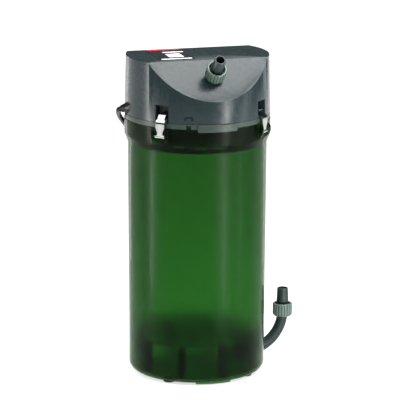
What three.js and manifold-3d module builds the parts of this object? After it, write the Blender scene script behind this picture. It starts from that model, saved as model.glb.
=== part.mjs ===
// An external canister filter for an aquarium, standing on its feet.
//
// A clear green canister with a hose elbow in a pocket at its foot carries a pump head with a
// slanted front and a flat back. Four steel strip clips, hinged in ears on the canister's collar,
// hold the head down. Millimetres, +Z up, Z is the canister's axis, the slanted front faces -Y.
// Angles called "bearing" start at the front (-Y) and grow towards +X.

import * as THREE from 'three';
import { mergeVertices } from 'three/addons/utils/BufferGeometryUtils.js';
import Module from 'manifold-3d';

const wasm = await Module();
wasm.setup();

// ---------------------------------------------------------------- driving dimensions

const GAP = 0.3; // between touching pieces
const ROUND = 48; // facets round a large turned piece
const SMALL_ROUND = 20; // facets round a small turned piece

const CANISTER = {
  bottomRadius: 74.8,
  shoulderRadius: 76.4,
  collarRadius: 80,
  wall: 3,
  underside: 2,
  cornerRadius: 9,
  shoulderZ: 258.7,
  collarZ: 269,
  rimZ: 286,
};
const POCKET = { wallX: 52, halfWidth: 16, floorZ: 5, ceilingZ: 32, wall: 3 };
const LATTICE = {
  pitch: 20,
  rib: 2.8,
  rim: 3,
  thickness: 2.4,
  lowerZ: 43,
  lowerRadius: 70.6,
  upperZ: 258.4,
  upperRadius: 72.4,
};
const LEG = { inner: 58, outer: 67, halfWidth: 3.2, lugZ: 49, bearings: [-75, -31, 11, 60, 150, 191, 240] };
const LUG_BEARINGS = [11, 191]; // these two legs stand up past the screen, to lift it out by
const FOOT = { ringRadius: 62, radius: 6.5, edge: 0.8, stubRadius: 5, recess: 1.2, height: 2.9 };
const FRONT_RIB = { outer: 68.5, inner: 65.5, halfAngle: 17, bottomZ: 0.4 };
const CENTRE_BOSS = { radius: 9, bottomZ: 1.6 };

const HEAD = {
  bandZ: 286.3,
  coverZ: 292,
  topZ: 355,
  radiusLow: 79.5,
  radiusHigh: 78.2,
  wall: 2.6,
  backY: 36,
  backLedgeZ: 304,
  cornerRadius: 8,
  slantTopY: -40,
};
const PLUG = { radius: 76.6, bottomZ: 268, plateTopZ: 271, wallRadius: 72 };
const CHAMBER = { radius: 24, ceilingZ: 279, coverZ: 268.3 };
const DUCT = { outerHalf: 9.5, innerHalf: 5 };
const LEDGE = { inner: 70.5, outer: 78.2, half: 5.2, bottomZ: 291, crestZ: 296.9 };
const SCREW = { shaft: 1.6, head: 3.4, headHeight: 3.1, tipZ: 285 };
const ROTOR = { shaft: 1.5, bore: 2, magnet: 12.6, magnetZ: [282.9, 312.8], shaftZ: [266.4, 316.6] };
const IMPELLER = { disc: 21.5, discZ: [277.2, 278.6], bladeZ: 272, hub: 6, blades: 6 };
const CORE = { halfX: 26, frontY: -19, backY: 28, z: [290, 304] };
const WINDOW = { halfX: 15.9, y: [8, 21.4] }; // the opening in the core that the winding passes through
const LIMB = { y: [21.1, 28.3], z: [289.7, 304.3] }; // clearance round the core's rear limb
const WINDING = { halfX: 13.5, y: [18.6, 31.2], z: [284.4, 309.6] };
const FLANGE = { thickness: 1.6, y: [17.6, 32.6], z: [282.5, 311.5] };
const POTTING = { halfX: 29, y: [-13, 33], topZ: 289.7 };
const WELL = { radius: 14, topZ: 317.5, wall: 2.5 };
const CLIP_BEARINGS = [-45, 45, 135, -135];
const RECESS = { halfWidth: 8.1, topZ: 311, floorRadius: 69.5 };
const NOTCH_BEARING = -23;
const NOTCH = { half: 2.6, floorRadius: 77.9, bottomZ: 284, topZ: 290.8 };
const SNAP_GROOVE = { half: 4.6, line: 1.2, depth: 1, footZ: 296, topZ: 300.2 };
const TAB = {
  halfAngle: 15.6,
  outer: 82,
  inner: 80.4,
  root: 78,
  bottomZ: 283.6,
  bridgeZ: 286.6,
  topZ: 291.4,
};
const SEAL = { groove: 74.4, bottomZ: 275.5, topZ: 279.5, inner: 74.7, outer: 76.8 };
const SCREWS = [[-46, -34], [46, -34], [-46, 22], [46, 22]];
const CLIP = { pivotRadius: 83, pivotZ: 277.5, thickness: 1.2, half: 5.6, axleRadius: 1.6, axleHalf: 7.2 };
const EAR = { innerHalf: 5.9, outerHalf: 10.2, bottomZ: 272, topZ: 285.6, reach: 85.6 };

const HOSE = { tubeRadius: 6.1, boreRadius: 4.8, tailRadius: 6.8, tipRadius: 6.1, flare: 17 };
const NUT = {
  radius: 11,
  rootRadius: 10.2,
  length: 14.6,
  ribs: 20,
  boreRadius: 7,
  mouthZ: 7.4,
  mouthRadius: 8.3,
};
const INLET = {
  z: 15.2,
  bendRadius: 43,
  riseX: 100,
  nutZ: 53,
  tipZ: 85,
  innerX: 38,
  flangeRadius: 9.4,
  locknutRadius: 9.6,
};
const OUTLET = { x: 1.6, footY: -57, nutStart: 3.5, tip: 34, bendRadius: 30, innerReach: 14, ductZ: 281.6 };

const LABEL = [-51, -11, -31, 33.4]; // left, right, front, back

const CORD_RADIUS = 2.8;
const CORD_DIAMETER = 2 * CORD_RADIUS;
const COIL = { across: -17, behind: 125, meanRadius: 32, baseZ: 1.2, columns: 3, rows: 2 };
const TIE = { bearing: -35, halfWidth: 4, thickness: 0.9 };
const LAY_TURN = 16.6; // the spare cord lies behind the filter, turned this many degrees clockwise

const rad = THREE.MathUtils.degToRad;

// ---------------------------------------------------------------- materials

const paint = (color, roughness, metalness = 0) =>
  new THREE.MeshStandardMaterial({ color, roughness, metalness });

const greenClear = () => new THREE.MeshStandardMaterial({
  color: 0x2a6b2a, roughness: 0.15, transparent: true, opacity: 0.45,
});
const headGrey = () => paint(0x3a4645, 0.38);
const bandGrey = () => paint(0x4c5950, 0.45);
const tailGrey = () => paint(0x3c4a48, 0.4);
const nutGrey = () => paint(0x66796e, 0.45);
const screenGrey = () => paint(0x2c3a33, 0.5);
const rubber = () => paint(0x16181a, 0.8);
const steel = () => paint(0xc9ced0, 0.22, 1);
const copper = () => paint(0xa8562c, 0.35, 1);
const ceramic = () => paint(0xe8e6df, 0.3);
const resin = () => paint(0x1d2422, 0.35);
const cable = () => paint(0x0e1011, 0.45);

// ---------------------------------------------------------------- solids

function solid(geometry) {
  const bare = geometry.clone();
  bare.deleteAttribute('normal');
  bare.deleteAttribute('uv');
  const merged = mergeVertices(bare, 1e-4);
  const index = merged.index.array;
  const faces = [];
  for (let i = 0; i < index.length; i += 3) {
    const [a, b, c] = [index[i], index[i + 1], index[i + 2]];
    if (a !== b && b !== c && c !== a) faces.push(a, b, c);
  }
  const mesh = new wasm.Mesh({
    numProp: 3,
    vertProperties: new Float32Array(merged.attributes.position.array),
    triVerts: new Uint32Array(faces),
  });
  return new wasm.Manifold(mesh);
}

function geometryOf(body) {
  const mesh = body.getMesh();
  const geometry = new THREE.BufferGeometry();
  geometry.setAttribute('position', new THREE.BufferAttribute(mesh.vertProperties, 3));
  geometry.setIndex(new THREE.BufferAttribute(mesh.triVerts, 1));
  geometry.computeVertexNormals();
  return geometry;
}

const group = new THREE.Group();

function place(name, body, material) {
  const geometry = body.isBufferGeometry ? body : geometryOf(body);
  const mesh = new THREE.Mesh(geometry, material);
  mesh.name = name;
  group.add(mesh);
  return mesh;
}

// A body of revolution about +Z from [radius, z] points that go up the outside and down the
// inside, so that its faces point out. The points start and end on the axis, or close a ring.
function turnedGeometry(profile, segments = ROUND) {
  const points = profile.map(([r, z]) => new THREE.Vector2(r, z));
  const onAxis = profile[0][0] === 0 && profile[profile.length - 1][0] === 0;
  if (!onAxis) points.push(points[0].clone());
  return new THREE.LatheGeometry(points, segments).rotateX(Math.PI / 2);
}

const turned = (profile, segments) => solid(turnedGeometry(profile, segments));

// A rod or disc on +Z between two heights.
const rod = (radius, z0, z1, segments = SMALL_ROUND) =>
  turned([[0, z0], [radius, z0], [radius, z1], [0, z1]], segments);

const tubeOnZ = (outer, inner, z0, z1, segments = SMALL_ROUND) =>
  turned([[inner, z0], [outer, z0], [outer, z1], [inner, z1]], segments);

function box(x0, x1, y0, y1, z0, z1) {
  const geometry = new THREE.BoxGeometry(x1 - x0, y1 - y0, z1 - z0);
  return solid(geometry.translate((x0 + x1) / 2, (y0 + y1) / 2, (z0 + z1) / 2));
}

// A solid of the given [x, y] outline standing on z0.
function standing(points, z0, z1) {
  const shape = new THREE.Shape(points.map(([x, y]) => new THREE.Vector2(x, y)));
  const geometry = new THREE.ExtrudeGeometry(shape, { depth: z1 - z0, bevelEnabled: false });
  return solid(geometry.translate(0, 0, z0));
}

const circleOutline = (radius, count) => Array.from({ length: count }, (_, i) => {
  const angle = (2 * Math.PI * i) / count;
  return [radius * Math.cos(angle), radius * Math.sin(angle)];
});

// A solid round bar along a curve, with its section centred on the curve.
function bar(curve, radius, sides, steps) {
  const shape = new THREE.Shape(circleOutline(radius, sides).map(([x, y]) => new THREE.Vector2(x, y)));
  return new THREE.ExtrudeGeometry(shape, { extrudePath: curve, steps, bevelEnabled: false });
}

// Moves a body by a three.js matrix.
const moved = (body, matrix) => body.transform(matrix.elements);

// Turns a body that was built facing the front (-Y) to a bearing.
const atBearing = (body, bearing) => moved(body, new THREE.Matrix4().makeRotationZ(rad(bearing)));

// Joins a list of bodies.
const joined = (bodies) => bodies.reduce((all, next) => all.add(next));

const arc = (cx, cy, radius, from, to, count) => Array.from({ length: count + 1 }, (_, i) => {
  const angle = rad(from + ((to - from) * i) / count);
  return [cx + radius * Math.cos(angle), cy + radius * Math.sin(angle)];
});

// ---------------------------------------------------------------- canister

function canisterProfile() {
  const c = CANISTER;
  const inner = c.cornerRadius - c.wall;
  const floorZ = c.underside + c.wall;
  return [
    [0, c.underside],
    ...arc(c.bottomRadius - c.cornerRadius, c.underside + c.cornerRadius, c.cornerRadius, -90, 0, 5),
    [c.shoulderRadius, c.shoulderZ],
    [c.collarRadius - 1.1, c.collarZ - 3.2],
    [c.collarRadius, c.collarZ],
    [c.collarRadius, c.rimZ],
    [c.collarRadius - c.wall, c.rimZ],
    [c.collarRadius - c.wall, c.collarZ - 2.5],
    [c.shoulderRadius - c.wall, c.shoulderZ - 2],
    ...arc(c.bottomRadius - c.cornerRadius, floorZ + inner, inner, 0, -90, 4),
    [0, floorZ],
  ];
}

function canisterShell() {
  const c = CANISTER;
  const p = POCKET;
  let shell = turned(canisterProfile());
  const envelope = turned([[0, c.underside], [c.bottomRadius - 2, c.underside + 0.5],
    [c.bottomRadius - 0.2, 12], [c.bottomRadius + 0.1, 60], [0, 60]]);
  const pocketWall = box(p.wallX - p.wall, c.collarRadius, -p.halfWidth - p.wall, p.halfWidth + p.wall,
    c.underside + 1, p.ceilingZ + p.wall).intersect(envelope);
  shell = shell.add(pocketWall);
  shell = shell.subtract(box(p.wallX, c.collarRadius + 5, -p.halfWidth, p.halfWidth, p.floorZ, p.ceilingZ));
  const inletHole = moved(rod(HOSE.tubeRadius + 0.7, 0, 20), alongX(p.wallX - 10, INLET.z));
  shell = shell.subtract(inletHole).add(frontRib());
  // A low boss in the middle of the underside, where the moulding was filled.
  shell = shell.add(rod(CENTRE_BOSS.radius, CENTRE_BOSS.bottomZ, c.underside + 1, 32));

  for (const bearing of CLIP_BEARINGS) {
    for (const side of [-1, 1]) shell = shell.add(atBearing(ear(side), bearing));
    shell = shell.subtract(atBearing(axleHole(), bearing));
    shell = shell.subtract(atBearing(footSocket(), bearing));
  }
  return shell;
}

// A short rib under the front edge, in line with the tab on the head's band.
function frontRib() {
  const r = FRONT_RIB;
  return standing([
    ...arc(0, 0, r.outer, -90 - r.halfAngle, -90 + r.halfAngle, 8),
    ...arc(0, 0, r.inner, -90 + r.halfAngle, -90 - r.halfAngle, 8),
  ], r.bottomZ, CANISTER.underside + 1.5);
}

// Lays a body built on +Z along +X, starting at x, at height z.
function alongX(x, z) {
  const matrix = new THREE.Matrix4().makeRotationY(Math.PI / 2);
  return matrix.setPosition(x, 0, z);
}

// One fin of a hinge, drawn in the radius-height plane and extruded sideways, at the front.
function sideways(profile, x0, x1) {
  const shape = new THREE.Shape(profile.map(([r, z]) => new THREE.Vector2(r, z)));
  const geometry = new THREE.ExtrudeGeometry(shape, { depth: x1 - x0, bevelEnabled: false });
  // (radius, height, depth) -> (x = depth, y = -radius, z = height)
  const matrix = new THREE.Matrix4().set(0, 0, 1, x0, -1, 0, 0, 0, 0, 1, 0, 0, 0, 0, 0, 1);
  geometry.applyMatrix4(matrix);
  return solid(flipped(geometry, matrix));
}

// Keeps faces pointing out when a matrix mirrors them.
function flipped(geometry, matrix) {
  if (matrix.determinant() > 0) return geometry;
  const plain = geometry.index ? geometry.toNonIndexed() : geometry;
  const array = plain.attributes.position.array;
  for (let i = 0; i < array.length; i += 9) {
    for (let k = 0; k < 3; k += 1) {
      [array[i + 3 + k], array[i + 6 + k]] = [array[i + 6 + k], array[i + 3 + k]];
    }
  }
  return plain;
}

function ear(side) {
  const e = EAR;
  const profile = [
    [CANISTER.collarRadius - 1.5, e.bottomZ - 2.5],
    [CANISTER.collarRadius + 0.4, e.bottomZ - 2],
    [e.reach - 1.6, e.bottomZ + 1.5],
    [e.reach, e.bottomZ + 5.5],
    [e.reach - 0.5, e.topZ - 3.5],
    [e.reach - 2.8, e.topZ],
    [CANISTER.collarRadius - 1.5, e.topZ],
  ];
  const [x0, x1] = side > 0 ? [e.innerHalf, e.outerHalf] : [-e.outerHalf, -e.innerHalf];
  return sideways(profile, x0, x1);
}

const acrossFront = (body, y, z) => {
  const matrix = new THREE.Matrix4().makeRotationY(Math.PI / 2);
  return moved(body, matrix.setPosition(0, y, z));
};

const shift = (x, y, z) => new THREE.Matrix4().makeTranslation(x, y, z);

function axleHole() {
  const half = CLIP.axleHalf + 0.5;
  return acrossFront(rod(CLIP.axleRadius + GAP, -half, half, 16), -CLIP.pivotRadius, CLIP.pivotZ);
}

const footSocket = () =>
  moved(rod(FOOT.stubRadius + GAP, -5, CANISTER.underside + FOOT.recess), shift(0, -FOOT.ringRadius, 0));

// A rubber foot: a wide pad with a stub that presses into a socket in the underside.
function foot(bearing) {
  const f = FOOT;
  const pad = turned([
    [0, 0], [f.radius - f.edge, 0], [f.radius, f.edge], [f.radius, CANISTER.underside - GAP],
    [f.stubRadius, CANISTER.underside - GAP], [f.stubRadius, f.height], [0, f.height],
  ], 16);
  return atBearing(moved(pad, shift(0, -f.ringRadius, 0)), bearing);
}

// A perforated plate: a plain rim round a grid of square openings.
function latticeScreen(radius, z0, z1) {
  const { pitch, rib, rim } = LATTICE;
  const count = Math.floor(radius / pitch);
  let plate = rod(radius, z0, z1, ROUND);
  for (let i = -count; i < count; i += 1) {
    for (let j = -count; j < count; j += 1) {
      const [x, y] = [i * pitch, j * pitch];
      const farthest = Math.hypot(Math.max(-x, x + pitch), Math.max(-y, y + pitch));
      if (farthest > radius - rim) continue;
      const opening = box(x + rib / 2, x + pitch - rib / 2, y + rib / 2, y + pitch - rib / 2, z0 - 1, z1 + 1);
      plate = plate.subtract(opening);
    }
  }
  return plate;
}

// The lower screen stands clear of the canister's floor on legs under its rim.
function lowerScreen() {
  const floorZ = CANISTER.underside + CANISTER.wall + GAP;
  let screen = latticeScreen(LATTICE.lowerRadius, LATTICE.lowerZ, LATTICE.lowerZ + LATTICE.thickness);
  for (const bearing of LEG.bearings) {
    const topZ = LUG_BEARINGS.includes(bearing) ? LEG.lugZ : LATTICE.lowerZ + 1;
    const leg = box(-LEG.halfWidth, LEG.halfWidth, -LEG.outer, -LEG.inner, floorZ, topZ);
    screen = screen.add(atBearing(leg, bearing));
  }
  return screen;
}

const upperScreen = () =>
  latticeScreen(LATTICE.upperRadius, LATTICE.upperZ, LATTICE.upperZ + LATTICE.thickness);

// ---------------------------------------------------------------- hose connectors

class ElbowCurve extends THREE.Curve {
  // Level along +X, then a quarter bend up, then straight up.
  constructor(x0, z0, riseX, bend, topZ) {
    super();
    Object.assign(this, { x0, z0, riseX, bend, topZ });
    this.level = riseX - bend - x0;
    this.turn = (Math.PI / 2) * bend;
    this.rise = topZ - z0 - bend;
  }

  getPoint(t) {
    const s = t * (this.level + this.turn + this.rise);
    if (s <= this.level) return new THREE.Vector3(this.x0 + s, 0, this.z0);
    if (s <= this.level + this.turn) {
      const angle = (s - this.level) / this.bend;
      const x = this.riseX - this.bend + this.bend * Math.sin(angle);
      return new THREE.Vector3(x, 0, this.z0 + this.bend * (1 - Math.cos(angle)));
    }
    return new THREE.Vector3(this.riseX, 0, this.z0 + this.bend + (s - this.level - this.turn));
  }
}

// A straight hose tail on +Z from 0 to its tip, waisted where the nut sits.
function hoseTail(length) {
  const h = HOSE;
  const shoulder = length - h.flare;
  return [
    [0, shoulder - 4],
    [h.tubeRadius - GAP, shoulder - 4],
    [h.tubeRadius - GAP, shoulder],
    [h.tailRadius, shoulder + 1.4],
    [h.tipRadius, length - 0.6],
    [h.tipRadius - 0.4, length],
    [0, length],
  ];
}

// A knurled hose nut on +Z from 0: ribs round the outside, a wide mouth round the hose tail.
function hoseNut() {
  const n = NUT;
  const outline = [];
  for (let i = 0; i < n.ribs; i += 1) {
    const middle = (360 / n.ribs) * i;
    for (const [turn, r] of [[-6, n.rootRadius], [-3.6, n.radius], [3.6, n.radius], [6, n.rootRadius]]) {
      outline.push([r * Math.cos(rad(middle + turn)), r * Math.sin(rad(middle + turn))]);
    }
  }
  const blankRadius = n.radius + GAP;
  const blank = turned([
    [0, 0], [n.radius - 1.6, 0], [n.radius - 0.4, 1.6], [blankRadius, 2.6], [blankRadius, n.length - 1],
    [n.radius - 0.6, n.length], [0, n.length],
  ]);
  const mouth = turned([
    [0, n.mouthZ], [n.mouthRadius, n.mouthZ], [n.mouthRadius + 0.4, n.length + 1], [0, n.length + 1],
  ], SMALL_ROUND);
  return standing(outline, 0, n.length).intersect(blank)
    .subtract(rod(n.boreRadius, -1, n.length + 1)).subtract(mouth);
}

function inletElbow() {
  const i = INLET;
  const tailLength = HOSE.flare + 5;
  const line = new ElbowCurve(i.innerX, i.z, i.riseX, i.bendRadius, i.tipZ - HOSE.flare - 1);
  const outside = solid(bar(line, HOSE.tubeRadius, 16, 16));
  const tail = moved(turned(hoseTail(tailLength), SMALL_ROUND), shift(i.riseX, 0, i.tipZ - tailLength));
  const flange = moved(tubeOnZ(i.flangeRadius, HOSE.boreRadius - 1, 0, 2.4), alongX(POCKET.wallX + 1.8, i.z));
  const boreLine = new ElbowCurve(i.innerX - 2, i.z, i.riseX, i.bendRadius, i.tipZ + 3);
  return outside.add(tail).add(flange).subtract(solid(bar(boreLine, HOSE.boreRadius, 12, 16)));
}

const inletSeal = () =>
  moved(tubeOnZ(8.8, HOSE.tubeRadius + GAP, 0, 1.2), alongX(POCKET.wallX + GAP, INLET.z));

function inletLocknut() {
  const height = 5;
  const hexagon = standing(circleOutline(INLET.locknutRadius, 6), 0, height);
  const nut = hexagon.subtract(rod(HOSE.tubeRadius + GAP, -1, height + 1));
  return moved(nut, alongX(POCKET.wallX - POCKET.wall - GAP - height, INLET.z));
}

// The outlet leaves the slanted face at right angles. Its frame has +Z out of the face.
// The front slopes at 45 degrees, so height falls one for one as the face comes forward.
const outletFrame = new THREE.Matrix4()
  .makeRotationX(rad(45))
  .setPosition(OUTLET.x, OUTLET.footY, HEAD.topZ - (HEAD.slantTopY - OUTLET.footY));

class OutletCurve extends THREE.Curve {
  // Up from the pump chamber, a 45 degree bend forward, then out through the face.
  constructor(endReach, startZ) {
    super();
    const out = new THREE.Vector3(0, -Math.SQRT1_2, Math.SQRT1_2);
    const foot = new THREE.Vector3().setFromMatrixPosition(outletFrame);
    this.out = out;
    this.bendEnd = foot.clone().addScaledVector(out, -OUTLET.innerReach);
    const bend = OUTLET.bendRadius;
    this.axisY = this.bendEnd.y + bend * (1 - Math.SQRT1_2);
    this.bendZ = this.bendEnd.z - bend * Math.SQRT1_2;
    this.startZ = startZ;
    this.level = this.bendZ - startZ;
    this.turn = (Math.PI / 4) * bend;
    this.run = OUTLET.innerReach + endReach;
  }

  getPoint(t) {
    const s = t * (this.level + this.turn + this.run);
    if (s <= this.level) return new THREE.Vector3(OUTLET.x, this.axisY, this.startZ + s);
    if (s <= this.level + this.turn) {
      const bend = OUTLET.bendRadius;
      const angle = (s - this.level) / bend;
      const y = this.axisY - bend * (1 - Math.cos(angle));
      return new THREE.Vector3(OUTLET.x, y, this.bendZ + bend * Math.sin(angle));
    }
    return this.bendEnd.clone().addScaledVector(this.out, s - this.level - this.turn);
  }
}

const ductY = new OutletCurve(0, OUTLET.ductZ).axisY;

function outletSpigot() {
  const reach = OUTLET.tip - HOSE.flare - 1;
  const outside = solid(bar(new OutletCurve(reach, OUTLET.ductZ), HOSE.tubeRadius, 16, 14));
  const tail = moved(turned(hoseTail(OUTLET.tip), SMALL_ROUND), outletFrame);
  const collar = moved(tubeOnZ(8.6, HOSE.boreRadius - 1, GAP, 2.6), outletFrame);
  const bore = solid(bar(new OutletCurve(OUTLET.tip + 3, OUTLET.ductZ - 2), HOSE.boreRadius, 12, 14));
  return outside.add(tail).add(collar).subtract(bore);
}

// ---------------------------------------------------------------- pump head

// The head's outline in plan: a circle cut off by the flat back, with rounded back corners.
function headOutline(radius, backY, corner) {
  const cornerY = backY - corner;
  const cornerX = Math.sqrt((radius - corner) ** 2 - cornerY ** 2);
  const meet = THREE.MathUtils.radToDeg(Math.atan2(cornerY, cornerX));
  return [
    ...arc(cornerX, cornerY, corner, meet, 90, 5),
    ...arc(-cornerX, cornerY, corner, 90, 180 - meet, 5),
    ...arc(0, 0, radius, 180 - meet, 360 + meet, 60).slice(1, -1),
  ];
}

// The cover's outer form, pulled in on every side by the given inset.
function headForm(inset) {
  const h = HEAD;
  const top = h.topZ - inset;
  const base = inset > 0 ? h.coverZ - 1 : h.coverZ + GAP;
  const edge = inset > 0 ? 0.8 : 1.6;
  const round = turned([
    [0, base], [h.radiusLow - inset, base], [h.radiusHigh - inset, top - edge],
    [h.radiusHigh - inset - edge, top], [0, top],
  ], 64);
  const plan = headOutline(h.radiusLow + 2 - inset, h.backY - inset, h.cornerRadius);
  const flatBacked = standing(plan, base, h.topZ + 1);
  const ledge = rod(h.radiusLow + 4, base - 1, h.backLedgeZ - inset, ROUND);
  // The wedge under the slope: far enough out on every other side to cut only at the slope.
  const far = h.radiusLow + 9;
  const above = 12;
  const slopeSum = h.topZ - h.slantTopY - inset * Math.SQRT2; // radius plus height anywhere on the slope
  const slanted = sideways([
    [-far, base - 5], [far, base - 5], [far, slopeSum - far], [slopeSum - h.topZ - above, h.topZ + above],
    [-far, h.topZ + above],
  ], -far, far);
  return round.intersect(flatBacked.add(ledge)).intersect(slanted);
}

function clipRecess(grow, top) {
  const r = RECESS;
  return box(-r.halfWidth - grow, r.halfWidth + grow, -HEAD.radiusLow - 6, -r.floorRadius + grow,
    HEAD.coverZ - 2, r.topZ + top);
}

function headCover() {
  const outer = headForm(0);
  let cover = outer.subtract(headForm(HEAD.wall));
  for (const bearing of CLIP_BEARINGS) {
    cover = cover.add(atBearing(clipRecess(2, 2), bearing).intersect(outer));
    cover = cover.subtract(atBearing(clipRecess(0, 0), bearing));
  }
  cover = cover.subtract(moved(rod(HOSE.tubeRadius + GAP, -8, 8), outletFrame));
  cover = cover.subtract(reliefBody(0.35));
  cover = cover.subtract(atBearing(snapGroove(), NOTCH_BEARING));
  return cover.subtract(atBearing(snapGroove(), NOTCH_BEARING + 180));
}

// The outline of a snap tongue, engraved in the cover's wall just above the band.
function snapGroove() {
  const g = SNAP_GROOVE;
  const y0 = -HEAD.radiusLow - 2;
  const y1 = -HEAD.radiusLow + g.depth;
  return joined([
    box(-g.half, g.half, y0, y1, g.topZ - g.line, g.topZ),
    box(-g.half, -g.half + g.line, y0, y1, g.footZ, g.topZ),
    box(g.half - g.line, g.half, y0, y1, g.footZ, g.topZ),
  ]);
}

function headBase() {
  const p = PLUG;
  const c = CHAMBER;
  const w = WELL;
  const wellOuter = w.radius + w.wall;
  const chamberOuter = c.radius + 3;
  let base = turned([
    [0, w.topZ], [w.radius, w.topZ], [w.radius, c.ceilingZ], [c.radius, c.ceilingZ], [c.radius, p.bottomZ],
    [p.radius, p.bottomZ], [p.radius, SEAL.bottomZ], [SEAL.groove, SEAL.bottomZ],
    [SEAL.groove, SEAL.topZ], [p.radius, SEAL.topZ],
    [p.radius, HEAD.bandZ], [HEAD.radiusLow, HEAD.bandZ], [HEAD.radiusLow, HEAD.coverZ],
    [p.wallRadius, HEAD.coverZ], [p.wallRadius, p.plateTopZ], [chamberOuter, p.plateTopZ],
    [chamberOuter, c.ceilingZ + 3], [wellOuter, c.ceilingZ + 3], [wellOuter, w.topZ + w.wall],
    [0, w.topZ + w.wall],
  ]);
  // The pressure duct runs from the chamber to the outlet pipe.
  const [x, half] = [OUTLET.x, DUCT.outerHalf];
  base = base.add(box(x - half, x + half, ductY - half, -20, p.plateTopZ - 1, c.ceilingZ + 2));
  base = base.subtract(rod(c.radius, p.bottomZ - 1, c.ceilingZ, ROUND));
  const way = DUCT.innerHalf;
  base = base.subtract(box(x - way, x + way, ductY - way, -18, c.coverZ + 3.2, c.ceilingZ - 0.5));
  base = base.subtract(moved(rod(HOSE.boreRadius, c.coverZ + 4, 300), shift(x, ductY, 0)));
  // A tab overlaps the collar at the front, and a notch beside it lets a screwdriver in.
  const tab = ringPart(TAB.outer, TAB.inner, TAB.bottomZ, TAB.topZ);
  const bridge = ringPart(TAB.outer - 1, TAB.root, TAB.bridgeZ, TAB.topZ);
  const notch = box(-NOTCH.half, NOTCH.half, -TAB.outer - 2, -NOTCH.floorRadius, NOTCH.bottomZ, NOTCH.topZ);
  base = base.add(tab).add(bridge).subtract(atBearing(notch, NOTCH_BEARING));
  for (const bearing of CLIP_BEARINGS) base = base.add(atBearing(clipLedge(), bearing));
  for (const [screwX, screwY] of SCREWS) {
    const hole = rod(SCREW.shaft + GAP, p.bottomZ - 8, p.plateTopZ + 4, 16);
    base = base.subtract(moved(hole, shift(screwX, screwY, 0)));
  }
  return base;
}

// A stretch of ring as long as the front tab.
const ringPart = (outer, inner, z0, z1) => standing([
  ...arc(0, 0, outer, -90 - TAB.halfAngle, -90 + TAB.halfAngle, 10),
  ...arc(0, 0, inner, -90 + TAB.halfAngle, -90 - TAB.halfAngle, 10),
], z0, z1);

// The sloped block in each recess that a clip's curl bears on.
function clipLedge() {
  const { inner, outer, half, bottomZ, crestZ } = LEDGE;
  const side = [
    [inner, bottomZ], [outer, bottomZ], [outer, bottomZ + 2.4], [outer - 2.8, crestZ - 0.3], [inner, crestZ],
  ];
  return sideways(side, -half, half);
}

const headSeal = () => tubeOnZ(SEAL.outer, SEAL.inner, SEAL.bottomZ + GAP, SEAL.topZ - GAP, ROUND);

// A pan-head screw driven up through the base into a boss in the cover.
function coverScrew([x, y]) {
  const s = SCREW;
  const under = PLUG.bottomZ - GAP;
  const screw = turned([
    [0, under - s.headHeight], [s.head - 1, under - s.headHeight], [s.head, under - s.headHeight + 1],
    [s.head, under], [s.shaft, under], [s.shaft, s.tipZ - 1], [0, s.tipZ],
  ], 16);
  return moved(screw, shift(x, y, 0));
}

// ---------------------------------------------------------------- pump and motor

function chamberCover() {
  const z0 = CHAMBER.coverZ;
  const z1 = z0 + 2.6;
  const rim = tubeOnZ(CHAMBER.radius - GAP, 11, z0, z1, 32);
  const neck = tubeOnZ(13, 11, z0 - 4, z0 + 1, 32);
  const spokes = [0, 60, 120].map((turn) => atBearing(box(-1.2, 1.2, -12, 12, z0, z1), turn));
  const hub = rod(4.6, z0 - 1.5, z1);
  return joined([rim, neck, ...spokes, hub]).subtract(rod(3.2, z0 - 3, z1 + 1));
}

const shaftBush = (z0, z1, outer) => tubeOnZ(outer, 1.8, z0, z1, 20);

function impeller() {
  const m = IMPELLER;
  const disc = tubeOnZ(m.disc, ROTOR.bore, ...m.discZ, 28);
  const hub = tubeOnZ(m.hub, ROTOR.bore, m.bladeZ, ROTOR.magnetZ[0] - GAP);
  const blade = box(-0.9, 0.9, -m.disc + 0.5, -m.hub + 1, m.bladeZ, m.discZ[0] + GAP);
  const blades = Array.from({ length: m.blades }, (_, i) => atBearing(blade, (360 / m.blades) * i));
  return joined([disc, hub, ...blades]);
}

function statorCore() {
  const c = CORE;
  const window = box(-WINDOW.halfX, WINDOW.halfX, ...WINDOW.y, c.z[0] - 1, c.z[1] + 1);
  const pole = rod(WELL.radius + WELL.wall + 2 * GAP, c.z[0] - 1, c.z[1] + 1, 40);
  return box(-c.halfX, c.halfX, c.frontY, c.backY, ...c.z).subtract(pole).subtract(window);
}

// A rectangular winding on its bobbin, round the core's rear limb.
function statorCoil() {
  const half = WINDING.halfX;
  const limb = box(-half - 1, half + 1, ...LIMB.y, ...LIMB.z);
  return box(-half, half, ...WINDING.y, ...WINDING.z).subtract(limb);
}

function bobbinFlange(side) {
  const near = side * (WINDING.halfX + GAP);
  const far = near + side * FLANGE.thickness;
  const [x0, x1] = [Math.min(near, far), Math.max(near, far)];
  return box(x0, x1, ...FLANGE.y, ...FLANGE.z).subtract(box(x0 - 1, x1 + 1, ...LIMB.y, ...LIMB.z));
}

// Cast resin beds the motor on the head's base.
function motorPotting() {
  const p = POTTING;
  const half = WINDING.halfX + FLANGE.thickness + 2 * GAP;
  const bobbin = box(-half, half, FLANGE.y[0] - 1, p.y[1] + 1, FLANGE.z[0] - GAP, p.topZ + 1);
  const chamber = rod(CHAMBER.radius + 3 + GAP, PLUG.bottomZ, p.topZ + 1, ROUND);
  return box(-p.halfX, p.halfX, ...p.y, PLUG.plateTopZ + GAP, p.topZ).subtract(chamber).subtract(bobbin);
}

function motorLead(side) {
  const points = [[-16.8, 24 + side * 3, 307.4], [-28, 25 + side * 2.6, 308.5], [-44, 15 + side * 2, 310],
    [-57, 1 + side * 1.8, 308], [-68.9, -12.4 + side * 1.7, 304.8]];
  const curve = new THREE.CatmullRomCurve3(points.map((p) => new THREE.Vector3(...p)));
  return bar(curve, 1.1, 8, 16);
}

// ---------------------------------------------------------------- clips

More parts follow.
